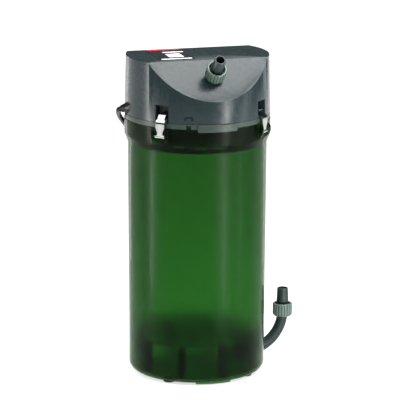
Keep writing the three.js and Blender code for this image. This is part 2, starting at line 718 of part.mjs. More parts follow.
// The clip's strip in the radius-height plane: up past the band, then curled in over the ledge.
const CLIP_LINE = [
  [83, 277.5], [83, 286], [82.7, 292.6], [81.6, 294.2], [79.6, 297.6], [77.4, 300.3], [75, 301.4],
  [72.8, 300.6], [71.4, 298.6],
];

function ribbon(line, thickness) {
  const side = (sign) => line.map(([r, z], i) => {
    const [r0, z0] = line[Math.max(i - 1, 0)];
    const [r1, z1] = line[Math.min(i + 1, line.length - 1)];
    const length = Math.hypot(r1 - r0, z1 - z0);
    const offset = (sign * thickness) / (2 * length);
    return [r + offset * (z1 - z0), z - offset * (r1 - r0)];
  });
  return [...side(1), ...side(-1).reverse()];
}

function clip(bearing) {
  const strip = sideways(ribbon(CLIP_LINE, CLIP.thickness), -CLIP.half, CLIP.half);
  // Front view: a T foot, a narrow waist, a wide plate with pointed corners, a narrower curl.
  const face = [
    [-5.5, 270], [5.5, 270], [5.5, 278.6], [3.3, 279.4], [3.3, 282.4], [5.3, 287], [5.3, 293],
    [5.6, 294.6], [4.2, 295.6], [4.2, 310], [-4.2, 310], [-4.2, 295.6], [-5.6, 294.6], [-5.3, 293],
    [-5.3, 287], [-3.3, 282.4], [-3.3, 279.4], [-5.5, 278.6],
  ];
  const outline = standing(face, 0, 40);
  const upright = new THREE.Matrix4().makeRotationX(Math.PI / 2).setPosition(0, -60, 0);
  const rodAcross = rod(CLIP.axleRadius, -CLIP.axleHalf, CLIP.axleHalf, 16);
  const axle = acrossFront(rodAcross, -CLIP.pivotRadius, CLIP.pivotZ);
  return atBearing(strip.intersect(moved(outline, upright)).add(axle), bearing);
}

// ---------------------------------------------------------------- power cord

// A place given by how far it is across and behind, in the direction the spare cord lies.
function laid(across, behind, z) {
  const turn = rad(LAY_TURN);
  const x = behind * Math.sin(turn) + across * Math.cos(turn);
  return new THREE.Vector3(x, behind * Math.cos(turn) - across * Math.sin(turn), z);
}

const RELIEF = {
  at: new THREE.Vector3(-79, 0, 299.5),
  out: new THREE.Vector3(-0.57, 0.77, -0.28).normalize(),
  inside: 12,
  outside: 9,
  root: 5.6,
  end: 3.6,
};

// The route from the strain relief, down behind the canister, to the coil's left side.
const CORD_ROUTE = [
  RELIEF.at.clone().addScaledVector(RELIEF.out, RELIEF.outside + 2 * GAP),
  RELIEF.at.clone().addScaledVector(RELIEF.out, RELIEF.outside + 3),
  new THREE.Vector3(-85.4, 14.6, 293.2),
  new THREE.Vector3(-82.4, 24.6, 287.6),
  new THREE.Vector3(-76.8, 36, 280.4),
  new THREE.Vector3(-68.2, 49.5, 270.8),
  laid(-73.5, 44, 259),
  laid(-67, 56, 241),
  laid(-61, 65, 217),
  laid(-57, 71, 188),
  laid(-54.5, 75, 155),
  laid(-53, 78, 120),
  laid(-52.6, 80.5, 88),
  laid(-53, 83.6, 60),
  laid(-53.6, 87.4, 36.5),
  laid(-54.2, 91.2, 21.6),
  laid(-54.6, 100, 12.8),
];

// From the coil's far side to the plug.
const TAIL_ROUTE = [
  laid(8, 162.6, 3.6), laid(20.2, 160.6, 3.1), laid(30.6, 154.8, 3.4), laid(37.2, 147, 4.9),
  laid(39.7, 139.4, 6.7),
];

const reliefBody = (grow) => {
  const r = RELIEF;
  const tip = r.outside + grow * 20;
  const body = turned([
    [0, -r.inside - grow], [r.root + grow, -r.inside - grow], [r.root + grow, 0.5], [r.end + grow, tip],
    [0, tip],
  ], 24);
  const turn = new THREE.Quaternion().setFromUnitVectors(new THREE.Vector3(0, 0, 1), r.out);
  return moved(body, new THREE.Matrix4().compose(r.at, turn, new THREE.Vector3(1, 1, 1)));
};

const cordTube = (points) => bar(new THREE.CatmullRomCurve3(points), CORD_RADIUS, 8, points.length * 2);

const coilCentre = laid(COIL.across, COIL.behind, 0);
const coilHalf = (COIL.columns * CORD_DIAMETER) / 2;
const coilTop = COIL.baseZ + COIL.rows * CORD_DIAMETER;

function cordCoil() {
  const inner = COIL.meanRadius - coilHalf;
  const outer = COIL.meanRadius + coilHalf;
  const top = coilTop;
  const ring = turned([
    [inner, COIL.baseZ + 2], [inner + 2, COIL.baseZ], [outer - 2, COIL.baseZ], [outer, COIL.baseZ + 2],
    [outer, top - 2], [outer - 2, top], [inner + 2, top], [inner, top - 2],
  ], 36);
  return moved(ring, new THREE.Matrix4().setPosition(coilCentre));
}

// A strap round the coil's turns, on the side nearest the filter.
function cordTie() {
  const t = TIE;
  const slack = 0.6; // the turns curve away inside the straight strap
  const [inner, outer] = [COIL.meanRadius - coilHalf - slack, COIL.meanRadius + coilHalf + GAP];
  const top = coilTop + GAP;
  const half = t.halfWidth;
  const hole = box(inner, outer, -half - 1, half + 1, COIL.baseZ - GAP, top);
  const block = box(inner - t.thickness, outer + t.thickness, -half, half, 0, top + t.thickness);
  const matrix = new THREE.Matrix4().makeRotationZ(rad(t.bearing)).setPosition(coilCentre);
  return moved(block.subtract(hole), matrix);
}

// The plug points back towards the canister, its lead coming in from behind.
const PLUG_END = laid(40, 136, 7.2);
const plugFrame = new THREE.Matrix4()
  .makeRotationZ(rad(-LAY_TURN))
  .multiply(new THREE.Matrix4().makeRotationX(Math.PI / 2))
  .setPosition(PLUG_END);

// Built on +Z: a tapered lead-in, then a flat body that widens and narrows to its face.
function mainsPlug() {
  const leadIn = turned([[0, GAP], [3.3, GAP], [5, 13], [5, 16], [0, 16]], 20);
  const outline = [[-6, 13], [-12.4, 20], [-13.6, 30], [-12.4, 36], [-12.6, 47], [12.6, 47], [12.4, 36],
    [13.6, 30], [12.4, 20], [6, 13]];
  const flat = moved(standing(outline, -6.9, 6.9), new THREE.Matrix4().makeRotationX(Math.PI / 2));
  const upright = moved(flat, new THREE.Matrix4().set(1, 0, 0, 0, 0, -1, 0, 0, 0, 0, 1, 0, 0, 0, 0, 1));
  let plug = leadIn.add(upright);
  for (const side of [-1, 1]) plug = plug.subtract(moved(rod(2.3, 44, 60, 16), pinMatrix(side)));
  return moved(plug, plugFrame);
}

const pinMatrix = (side) => shift(side * 9.3, 0, 0);

function plugPin(side) {
  const pin = turned([[0, 44.3], [2, 44.3], [2, 64.4], [1.4, 65.4], [0, 65.4]], 16);
  return moved(moved(pin, pinMatrix(side)), plugFrame);
}

// ---------------------------------------------------------------- label

function labelPlate() {
  const [x0, x1, y0, y1] = LABEL;
  return standing([[x0, y0], [x1, y0], [x1, y1], [x0, y1]], HEAD.topZ + 0.05, HEAD.topZ + 0.55);
}

// ---------------------------------------------------------------- assembly

place('canister_shell', canisterShell(), greenClear());
CLIP_BEARINGS.forEach((bearing, i) => place(`foot_${i + 1}`, foot(bearing), rubber()));
place('lower_screen', lowerScreen(), screenGrey());
place('upper_screen', upperScreen(), screenGrey());
place('inlet_elbow', inletElbow(), tailGrey());
place('inlet_seal', inletSeal(), rubber());
place('inlet_locknut', inletLocknut(), tailGrey());
place('inlet_hose_nut', moved(hoseNut(), shift(INLET.riseX, 0, INLET.nutZ)), nutGrey());

place('head_base', headBase(), bandGrey());
place('head_seal', headSeal(), rubber());
place('head_cover', headCover(), headGrey());
place('label_plate', labelPlate(), paint(0x15181a, 0.3));
SCREWS.forEach((at, i) => place(`cover_screw_${i + 1}`, coverScrew(at), steel()));
place('outlet_spigot', outletSpigot(), tailGrey());
const outletNutAt = outletFrame.clone().multiply(shift(0, 0, OUTLET.nutStart));
place('outlet_hose_nut', moved(hoseNut(), outletNutAt), nutGrey());

place('chamber_cover', chamberCover(), headGrey());
place('rotor_shaft', rod(ROTOR.shaft, ...ROTOR.shaftZ, 16), ceramic());
place('shaft_bush_lower', shaftBush(267.2, 270.6, 2.9), rubber());
place('shaft_bush_upper', shaftBush(313.4, 317.2, 5), rubber());
place('impeller', impeller(), paint(0xd8d8d2, 0.5));
place('rotor_magnet', tubeOnZ(ROTOR.magnet, ROTOR.bore, ...ROTOR.magnetZ, 28), paint(0x2b2b2d, 0.45));
place('stator_core', statorCore(), paint(0x77797c, 0.45, 0.8));
place('stator_coil', statorCoil(), copper());
place('coil_flange_left', bobbinFlange(-1), ceramic());
place('coil_flange_right', bobbinFlange(1), ceramic());
place('motor_potting', motorPotting(), resin());
place('motor_lead_1', motorLead(-1), paint(0x2c5f9e, 0.4));
place('motor_lead_2', motorLead(1), paint(0x6b4226, 0.4));

const CLIP_NAMES = ['clip_front_left', 'clip_front_right', 'clip_back_right', 'clip_back_left'];
CLIP_BEARINGS.forEach((bearing, i) => place(CLIP_NAMES[i], clip(bearing), steel()));

place('cord_strain_relief', reliefBody(0), cable());
place('power_cord', cordTube(CORD_ROUTE), cable());
place('cord_coil', cordCoil(), cable());
place('cord_tie', cordTie(), rubber());
place('cord_tail', cordTube(TAIL_ROUTE), cable());
place('mains_plug', mainsPlug(), cable());
place('plug_pin_1', plugPin(-1), steel());
place('plug_pin_2', plugPin(1), steel());

export default group;
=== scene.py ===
import math

import bmesh
import bpy
from mathutils import Matrix, Vector


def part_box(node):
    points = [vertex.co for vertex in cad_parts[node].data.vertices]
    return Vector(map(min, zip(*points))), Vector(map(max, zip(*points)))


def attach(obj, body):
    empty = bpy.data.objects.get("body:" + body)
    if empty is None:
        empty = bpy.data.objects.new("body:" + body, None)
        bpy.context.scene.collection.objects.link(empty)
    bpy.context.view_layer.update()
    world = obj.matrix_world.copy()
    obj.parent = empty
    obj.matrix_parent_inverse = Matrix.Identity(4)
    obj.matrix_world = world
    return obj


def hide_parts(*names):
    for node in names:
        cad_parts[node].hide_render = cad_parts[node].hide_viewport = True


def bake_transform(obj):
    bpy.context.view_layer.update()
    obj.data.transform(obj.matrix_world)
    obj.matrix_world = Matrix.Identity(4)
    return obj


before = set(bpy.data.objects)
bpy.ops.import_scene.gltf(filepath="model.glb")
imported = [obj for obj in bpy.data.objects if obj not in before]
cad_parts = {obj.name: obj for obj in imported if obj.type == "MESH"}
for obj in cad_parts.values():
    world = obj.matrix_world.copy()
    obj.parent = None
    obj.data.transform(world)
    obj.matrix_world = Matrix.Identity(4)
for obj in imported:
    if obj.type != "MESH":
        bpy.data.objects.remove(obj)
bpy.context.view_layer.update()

MM = 0.001
BEARINGS = {"clip_front_left": -45, "clip_front_right": 45, "clip_back_right": 135, "clip_back_left": -135}

# ------------------------------------------------------------------ places taken from the frame


def span(node, axis):
    """A node's lowest and highest coordinate along an axis, in millimetres."""
    low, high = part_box(node)
    return low[axis] / MM, high[axis] / MM


UNDERSIDE = 2.0
RIM_Z = span("canister_shell", 2)[1]
COLLAR_R = span("canister_shell", 0)[1]
HEAD_R = span("head_base", 0)[1]
COVER_Z, TOP_Z = span("head_cover", 2)
BAND_TOP = COVER_Z - 0.3
LABEL_X = span("label_plate", 0)
LABEL_Y = span("label_plate", 1)

BODY = dict(bottom_r=74.8, shoulder_r=76.4, wall=3.0, corner=9.0, shoulder_z=258.7)
POCKET = dict(wall_x=52.0, half=16.0, floor_z=5.0, ceiling_z=32.0, wall=3.0)
FRONT_RIB = dict(outer=68.5, inner=65.5, half_angle=17, bottom=0.4)
SCREEN = dict(z=43.0, thick=2.4)
HEAD = dict(high_r=78.2, wall=2.6, back_y=36.0, ledge_z=304.0, corner=8.0, slant_y=-40.0)
RECESS = dict(half=8.1, top=311.0, floor_r=69.5)
TUBE_R, BORE_R, TAIL_R, TIP_R, FLARE = 6.1, 4.8, 6.8, 6.1, 17.0
INLET = dict(z=15.2, bend=43.0, x=100.0, inner_x=38.0, tip=span("inlet_elbow", 2)[1])
OUTLET = dict(x=1.6, y=-57.0, tip=34.0, bend=30.0, reach=14.0, duct_z=281.6, nut=3.5)
PIVOT_R, PIVOT_Z = 83.0, 277.5
FOOT_R = 62.0
CORD_R = 2.8
COIL = dict(across=-17.0, behind=125.0, mean_r=32.0, base=1.2)
LAY_TURN = math.radians(16.6)

CAMERA_AZIMUTH = -16.5

# ------------------------------------------------------------------ camera


def direction(azimuth, elevation):
    a, e = math.radians(azimuth), math.radians(elevation)
    return Vector((math.sin(a) * math.cos(e), -math.cos(a) * math.cos(e), math.sin(e)))


def look_at(obj, target):
    obj.rotation_euler = (Vector(target) - obj.location).to_track_quat("-Z", "Y").to_euler()


def make_camera():
    elevation, distance = 13.2, 3.2
    turn = math.radians(CAMERA_AZIMUTH)
    right = Vector((math.cos(turn), math.sin(turn), 0))
    target = right * 0.0121 + Vector((0, 0, 0.1825))
    data = bpy.data.cameras.new("camera")
    data.lens = 251.5
    data.sensor_width = 36
    data.clip_end = 30
    camera = bpy.data.objects.new("camera", data)
    camera.location = target + direction(CAMERA_AZIMUTH, elevation) * distance
    look_at(camera, target)
    camera.rotation_euler.rotate_axis("Z", math.radians(0.25))
    bpy.context.collection.objects.link(camera)
    bpy.context.scene.camera = camera
    return camera


# ------------------------------------------------------------------ mesh helpers


def new_object(name, verts, faces, materials, smooth_angle=40):
    mesh = bpy.data.meshes.new(name)
    mesh.from_pydata([tuple(c * MM for c in v) for v in verts], [], faces)
    mesh.validate()
    obj = bpy.data.objects.new(name, mesh)
    bpy.context.collection.objects.link(obj)
    for material in materials if isinstance(materials, (list, tuple)) else [materials]:
        if material is not None:
            mesh.materials.append(material)
    tidy(obj, smooth_angle)
    return obj


def tidy(obj, smooth_angle=40):
    """Welds, drops loose bits, turns faces outward, and shades smooth below an angle."""
    bm = bmesh.new()
    bm.from_mesh(obj.data)
    bmesh.ops.remove_doubles(bm, verts=bm.verts, dist=0.00001)
    bmesh.ops.dissolve_degenerate(bm, edges=bm.edges, dist=0.000005)
    loose = [v for v in bm.verts if not v.link_faces]
    bmesh.ops.delete(bm, geom=loose, context="VERTS")
    bmesh.ops.recalc_face_normals(bm, faces=bm.faces)
    bm.to_mesh(obj.data)
    bm.free()
    obj.data.shade_smooth()
    obj.data.set_sharp_from_angle(angle=math.radians(smooth_angle))
    return obj


def apply_modifiers(obj):
    bpy.context.view_layer.update()
    graph = bpy.context.evaluated_depsgraph_get()
    mesh = bpy.data.meshes.new_from_object(obj.evaluated_get(graph))
    obj.modifiers.clear()
    old = obj.data
    obj.data = mesh
    bpy.data.meshes.remove(old)
    return obj


def boolean(obj, tool, operation):
    """Cuts or joins obj with a tool piece, and removes the tool."""
    modifier = obj.modifiers.new("boolean", "BOOLEAN")
    modifier.object = tool
    modifier.operation = operation
    modifier.solver = "EXACT"
    apply_modifiers(obj)
    bpy.data.objects.remove(tool)
    return obj


def bevel(obj, width, segments=2, angle=35):
    modifier = obj.modifiers.new("bevel", "BEVEL")
    modifier.width = width * MM
    modifier.segments = segments
    modifier.limit_method = "ANGLE"
    modifier.angle_limit = math.radians(angle)
    modifier.use_clamp_overlap = True
    modifier.harden_normals = False
    apply_modifiers(obj)
    return tidy(obj, 30)


def transform(obj, matrix):
    obj.data.transform(matrix)
    if matrix.determinant() < 0:
        obj.data.flip_normals()
    obj.data.update()
    return obj


def shift(x, y, z):
    return Matrix.Translation((x * MM, y * MM, z * MM))


def turn_z(degrees):
    return Matrix.Rotation(math.radians(degrees), 4, "Z")


def join(name, pieces, materials=None):
    """One object from several closed pieces."""
    bm = bmesh.new()
    slots = []
    for piece in pieces:
        part = bmesh.new()
        part.from_mesh(piece.data)
        for face in part.faces:
            material = piece.data.materials[face.material_index] if piece.data.materials else None
            if material not in slots:
                slots.append(material)
            face.material_index = slots.index(material)
        scratch = bpy.data.meshes.new("scratch")
        part.to_mesh(scratch)
        part.free()
        bm.from_mesh(scratch)
        bpy.data.meshes.remove(scratch)
    mesh = bpy.data.meshes.new(name)
    bm.to_mesh(mesh)
    bm.free()
    for material in slots:
        if material is not None:
            mesh.materials.append(material)
    for piece in pieces:
        bpy.data.objects.remove(piece)
    obj = bpy.data.objects.new(name, mesh)
    bpy.context.collection.objects.link(obj)
    mesh.shade_smooth()
    mesh.set_sharp_from_angle(angle=math.radians(35))
    return obj


def arc(cx, cy, radius, start, end, count):
    points = []
    for i in range(count + 1):
        a = math.radians(start + (end - start) * i / count)
        points.append((cx + radius * math.cos(a), cy + radius * math.sin(a)))
    return points


def lathe(name, profile, segments, materials, rounded=0.0, smooth_angle=35):
    """Turns (radius, z) points, outside going up, about +Z. The profile closes on the axis or on itself."""
    if rounded:
        profile = soften(profile, rounded)
    on_axis = profile[0][0] < 1e-6 and profile[-1][0] < 1e-6
    verts, faces = [], []
    rings = []
    for r, z in profile:
        if r < 1e-6:
            rings.append([len(verts)])
            verts.append((0, 0, z))
            continue
        ring = []
        for k in range(segments):
            a = 2 * math.pi * k / segments
            ring.append(len(verts))
            verts.append((r * math.cos(a), r * math.sin(a), z))
        rings.append(ring)
    pairs = list(zip(rings, rings[1:]))
    if not on_axis:
        pairs.append((rings[-1], rings[0]))
    for a, b in pairs:
        if len(a) == 1 and len(b) == 1:
            continue
        for k in range(segments):
            n = (k + 1) % segments
            if len(a) == 1:
                faces.append((a[0], b[n], b[k]))
            elif len(b) == 1:
                faces.append((a[k], a[n], b[0]))
            else:
                faces.append((a[k], a[n], b[n], b[k]))
    return new_object(name, verts, faces, materials, smooth_angle)


def soften(profile, radius, steps=3):
    """Rounds the corners of a profile that don't lie on the axis."""
    out = []
    count = len(profile)
    closed = not (profile[0][0] < 1e-6 and profile[-1][0] < 1e-6)
    for i, (r, z) in enumerate(profile):
        if not closed and i in (0, count - 1):
            out.append((r, z))
            continue
        p = Vector((r, z))
        a = Vector(profile[i - 1]) - p
        b = Vector(profile[(i + 1) % count]) - p
        turn = a.angle(b) if a.length and b.length else math.pi
        if turn > math.radians(155):
            out.append((r, z))
            continue
        cut = min(radius, a.length * 0.42, b.length * 0.42)
        start, end = p + a.normalized() * cut, p + b.normalized() * cut
        for s in range(steps + 1):
            t = s / steps
            q = start * (1 - t) ** 2 + p * 2 * t * (1 - t) + end * t * t
            out.append((q.x, q.y))
    return out


def prism(name, outline, z0, z1, materials=None):
    """Stands an (x, y) outline between two heights."""
    count = len(outline)
    verts = [(x, y, z0) for x, y in outline] + [(x, y, z1) for x, y in outline]
    faces = [tuple(reversed(range(count))), tuple(range(count, 2 * count))]
    for k in range(count):
        n = (k + 1) % count
        faces.append((k, n, n + count, k + count))
    return new_object(name, verts, faces, materials, 35)


def block(name, x0, x1, y0, y1, z0, z1, materials=None):
    return prism(name, [(x0, y0), (x1, y0), (x1, y1), (x0, y1)], z0, z1, materials)


def sideways(name, profile, x0, x1, materials=None):
    """A (radius, z) outline at the front (-Y), extruded along X."""
    obj = prism(name, profile, x0, x1, materials)
    # (radius, z, depth) becomes (depth, -radius, z)
    matrix = Matrix(((0, 0, 1, 0), (-1, 0, 0, 0), (0, 1, 0, 0), (0, 0, 0, 1)))
    return transform(obj, matrix)


def sweep(name, points, radius, sides, materials, flat=1.0):
    """A closed tube along points; radius is a number, or a function of the share of the way along."""
    points = [Vector(p) for p in points]
    count = len(points)
    tangents = []
    for i in range(count):
        tangents.append((points[min(i + 1, count - 1)] - points[max(i - 1, 0)]).normalized())
    normal = tangents[0].orthogonal().normalized()
    verts, faces = [], []
    for i, point in enumerate(points):
        if i:
            normal = tangents[i - 1].rotation_difference(tangents[i]) @ normal
            normal = (normal - tangents[i] * normal.dot(tangents[i])).normalized()
        side = tangents[i].cross(normal)
        r = radius(i / (count - 1)) if callable(radius) else radius
        for k in range(sides):
            a = 2 * math.pi * k / sides
            verts.append(point + normal * (r * math.cos(a)) + side * (r * flat * math.sin(a)))
    for i in range(count - 1):
        for k in range(sides):
            n = (k + 1) % sides
            a, b = i * sides, (i + 1) * sides
            faces.append((a + k, a + n, b + n, b + k))
    faces.append(tuple(reversed(range(sides))))
    faces.append(tuple(range((count - 1) * sides, count * sides)))
    return new_object(name, verts, faces, materials, 50)


def catmull(points, step):
    """Points a step apart, in millimetres, along a smooth curve through the given ones."""
    points = [Vector(p) for p in points]
    ends = [points[0] * 2 - points[1], *points, points[-1] * 2 - points[-2]]
    dense = []
    for i in range(1, len(ends) - 2):
        p0, p1, p2, p3 = ends[i - 1:i + 3]
        t1 = max((p1 - p0).length ** 0.5, 1e-6)
        t2 = t1 + max((p2 - p1).length ** 0.5, 1e-6)
        t3 = t2 + max((p3 - p2).length ** 0.5, 1e-6)
        for s in range(16):
            t = t1 + (t2 - t1) * s / 16
            a1 = p0 * ((t1 - t) / t1) + p1 * (t / t1)
            a2 = p1 * ((t2 - t) / (t2 - t1)) + p2 * ((t - t1) / (t2 - t1))
            a3 = p2 * ((t3 - t) / (t3 - t2)) + p3 * ((t - t2) / (t3 - t2))
            b1 = a1 * ((t2 - t) / t2) + a2 * (t / t2)
            b2 = a2 * ((t3 - t) / (t3 - t1)) + a3 * ((t - t1) / (t3 - t1))
            dense.append(b1 * ((t2 - t) / (t2 - t1)) + b2 * ((t - t1) / (t2 - t1)))
    dense.append(points[-1])
    return spaced(dense, step)


def spaced(points, step):
    total = sum((b - a).length for a, b in zip(points, points[1:]))
    count = max(2, round(total / step))
    out, target, walked = [points[0]], total / count, 0.0
    for a, b in zip(points, points[1:]):
        length = (b - a).length
        while length > 0 and walked + length >= target * len(out) - 1e-9 and len(out) < count:
            out.append(a.lerp(b, (target * len(out) - walked) / length))
        walked += length
    out.append(points[-1])
    return out


# ------------------------------------------------------------------ materials


class Shader:
    """A node material with short calls for what the surfaces here need."""

    def __init__(self, name):
        self.material = bpy.data.materials.new(name)
        self.material.use_nodes = True
        self.tree = self.material.node_tree
        self.surface = self.tree.nodes["Principled BSDF"]
        self.coords = self.tree.nodes.new("ShaderNodeTexCoord").outputs["Object"]

    def set(self, **values):
        for key, value in values.items():
            self.surface.inputs[key.replace("_", " ")].default_value = value
        return self

    def node(self, kind, **values):
        node = self.tree.nodes.new(kind)
        for key, value in values.items():
            setattr(node, key, value)
        return node

    def link(self, output, target):
        self.tree.links.new(output, target)

    def noise(self, scale, detail=4.0, rough=0.5, stretch=(1, 1, 1)):
        mapping = self.node("ShaderNodeMapping")
        mapping.inputs["Scale"].default_value = stretch
        self.link(self.coords, mapping.inputs["Vector"])
        noise = self.node("ShaderNodeTexNoise")
        noise.inputs["Scale"].default_value = scale
        noise.inputs["Detail"].default_value = detail
        noise.inputs["Roughness"].default_value = rough
        self.link(mapping.outputs["Vector"], noise.inputs["Vector"])
        return noise.outputs["Fac"]

    def ramp(self, value, low, high, out_low, out_high):
        ramp = self.node("ShaderNodeMapRange")
        for key, number in zip(("From Min", "From Max", "To Min", "To Max"), (low, high, out_low, out_high)):
            ramp.inputs[key].default_value = number
        self.link(value, ramp.inputs["Value"])
        return ramp.outputs["Result"]

    def mix(self, factor, a, b):
        mix = self.node("ShaderNodeMix", data_type="RGBA")
        if isinstance(factor, float):
            mix.inputs[0].default_value = factor
        else:
            self.link(factor, mix.inputs[0])
        for socket, value in ((mix.inputs[6], a), (mix.inputs[7], b)):
            if isinstance(value, tuple):
                socket.default_value = (*value, 1)
            else:
                self.link(value, socket)
        return mix.outputs[2]

    def colour(self, output):
        self.link(output, self.surface.inputs["Base Color"])
        return self

    def roughness(self, output):
        self.link(output, self.surface.inputs["Roughness"])
        return self

    def bump(self, height, strength, distance):
        bump = self.node("ShaderNodeBump")
        bump.inputs["Strength"].default_value = strength
        bump.inputs["Distance"].default_value = distance
        self.link(height, bump.inputs["Height"])
        previous = self.surface.inputs["Normal"]
        if previous.is_linked:
            self.link(previous.links[0].from_socket, bump.inputs["Normal"])
        self.link(bump.outputs["Normal"], previous)
        return self


def scaled(colour, factor):
    return tuple(c * factor for c in colour)


def moulded(name, colour, rough=0.36, grain=0.25, specular=0.5, mottle=0.12):
    """Moulded plastic: fine spark-eroded grain, faint mottling, slightly uneven gloss."""
    s = Shader(name)
    cloud = s.noise(38, 5)
    s.colour(s.mix(s.ramp(cloud, 0.3, 0.7, 0, 1), scaled(colour, 1 - mottle), scaled(colour, 1 + mottle)))
    s.roughness(s.ramp(s.noise(210, 4), 0.3, 0.7, rough - 0.05, rough + 0.06))
    s.bump(s.noise(2600, 3, 0.6), grain, 0.00012)
    s.set(Specular_IOR_Level=specular)
    return s.material


def clear_green(name, colour, rough, cloud_scale, gloss):
    """Clear green plastic, tinted a little unevenly in clouds, with painted shade that darkens it towards the
    top.
    """
    s = Shader(name)
    split = s.node("ShaderNodeSeparateXYZ")
    s.link(s.coords, split.inputs[0])
    # Painted shade: the colour is 1.12 times as bright near the bottom and 0.86 times at the top.
    height = s.ramp(split.outputs["Z"], 0.02, 0.27, 0, 1)
    painted_shade_tone = s.mix(height, scaled(colour, 1.12), scaled(colour, 0.86))
    s.colour(s.mix(s.ramp(s.noise(cloud_scale, 4), 0.3, 0.7, 0, 0.25), painted_shade_tone, scaled(colour, 0.9)))
    s.roughness(s.ramp(s.noise(60, 3), 0.3, 0.7, rough * 0.85, rough * 1.2))
    s.set(Transmission_Weight=1.0, IOR=1.09, Specular_Tint=(0.1, 0.1, 0.1, 1))
    s.set(Coat_Weight=gloss, Coat_Roughness=0.34)
    return s.material


def lattice_plastic(name, colour, plate_z):
    """Dark legs under a clear, faintly green plate that starts at a height."""
    s = Shader(name)
    split = s.node("ShaderNodeSeparateXYZ")
    s.link(s.coords, split.inputs[0])
    plate = s.ramp(split.outputs["Z"], plate_z - 0.0012, plate_z - 0.0006, 0, 1)
    cloud = s.ramp(s.noise(60, 4), 0.3, 0.7, 0, 1)
    dark = s.mix(cloud, scaled(colour, 0.8), scaled(colour, 1.2))
    s.colour(s.mix(plate, dark, (0.92, 0.985, 0.91)))
    s.link(s.ramp(plate, 0, 1, 0.35, 1), s.surface.inputs["Transmission Weight"])
    s.roughness(s.ramp(s.noise(210, 3), 0.3, 0.7, 0.16, 0.24))
    s.set(IOR=1.12, Specular_Tint=(0.1, 0.16, 0.1, 1))
    return s.material


def bright_steel(name):
    """Sprung stainless strip with the faint lengthwise lines of rolling."""
    s = Shader(name)
    lines = s.noise(900, 3, 0.6, (1, 1, 0.04))
    s.colour(s.mix(s.ramp(lines, 0.3, 0.7, 0, 1), (0.40, 0.42, 0.41), (0.55, 0.56, 0.54)))
    s.roughness(s.ramp(s.noise(240, 3), 0.3, 0.7, 0.08, 0.14))
    s.bump(lines, 0.08, 0.00005)
    s.set(Metallic=1.0)
    return s.material


def soft_rubber(name, colour=(0.012, 0.013, 0.014)):
    s = Shader(name)
    s.colour(s.mix(s.ramp(s.noise(70, 6), 0.35, 0.7, 0, 1), colour, scaled(colour, 2.2)))
    s.roughness(s.ramp(s.noise(300, 3), 0.3, 0.7, 0.62, 0.82))
    s.bump(s.noise(1800, 4), 0.35, 0.00015)
    return s.material


def sheath(name):
    """Smooth vinyl cable sheath, glossy with slight ripples."""
    s = Shader(name)
    s.colour(s.mix(s.ramp(s.noise(120, 4), 0.3, 0.7, 0, 1), (0.003, 0.0035, 0.0035), (0.007, 0.008, 0.0075)))
    s.roughness(s.ramp(s.noise(180, 3), 0.3, 0.7, 0.16, 0.26))
    s.set(Specular_IOR_Level=0.12)
    s.bump(s.noise(420, 2), 0.15, 0.0002)
    return s.material


def winding(name):
    s = Shader(name)
    wave = s.node("ShaderNodeTexWave", wave_type="BANDS", bands_direction="X")
    wave.inputs["Scale"].default_value = 560
    s.link(s.coords, wave.inputs["Vector"])
    s.colour(s.mix(wave.outputs["Fac"], (0.16, 0.045, 0.015), (0.62, 0.24, 0.09)))
    s.roughness(s.ramp(s.noise(300, 3), 0.3, 0.7, 0.25, 0.4))
    s.bump(wave.outputs["Fac"], 0.8, 0.0003)
    s.set(Metallic=0.85)
    return s.material


def laminated(name):
    s = Shader(name)
    wave = s.node("ShaderNodeTexWave", wave_type="BANDS", bands_direction="Z")
    wave.inputs["Scale"].default_value = 320
    s.link(s.coords, wave.inputs["Vector"])
    s.colour(s.mix(wave.outputs["Fac"], (0.09, 0.09, 0.095), (0.3, 0.3, 0.31)))
    s.roughness(s.ramp(s.noise(200, 4), 0.3, 0.7, 0.35, 0.55))
    s.bump(wave.outputs["Fac"], 0.6, 0.0002)
    s.set(Metallic=0.9)
    return s.material


def film(name, colour, rough=0.3):
    """Printed label film with a faint orange-peel."""
    s = Shader(name)
    s.colour(s.mix(s.ramp(s.noise(90, 4), 0.3, 0.7, 0, 1), scaled(colour, 0.93), colour))
    s.roughness(s.ramp(s.noise(260, 3), 0.3, 0.7, rough - 0.05, rough + 0.06))
    s.bump(s.noise(700, 2), 0.12, 0.0001)
    return s.material


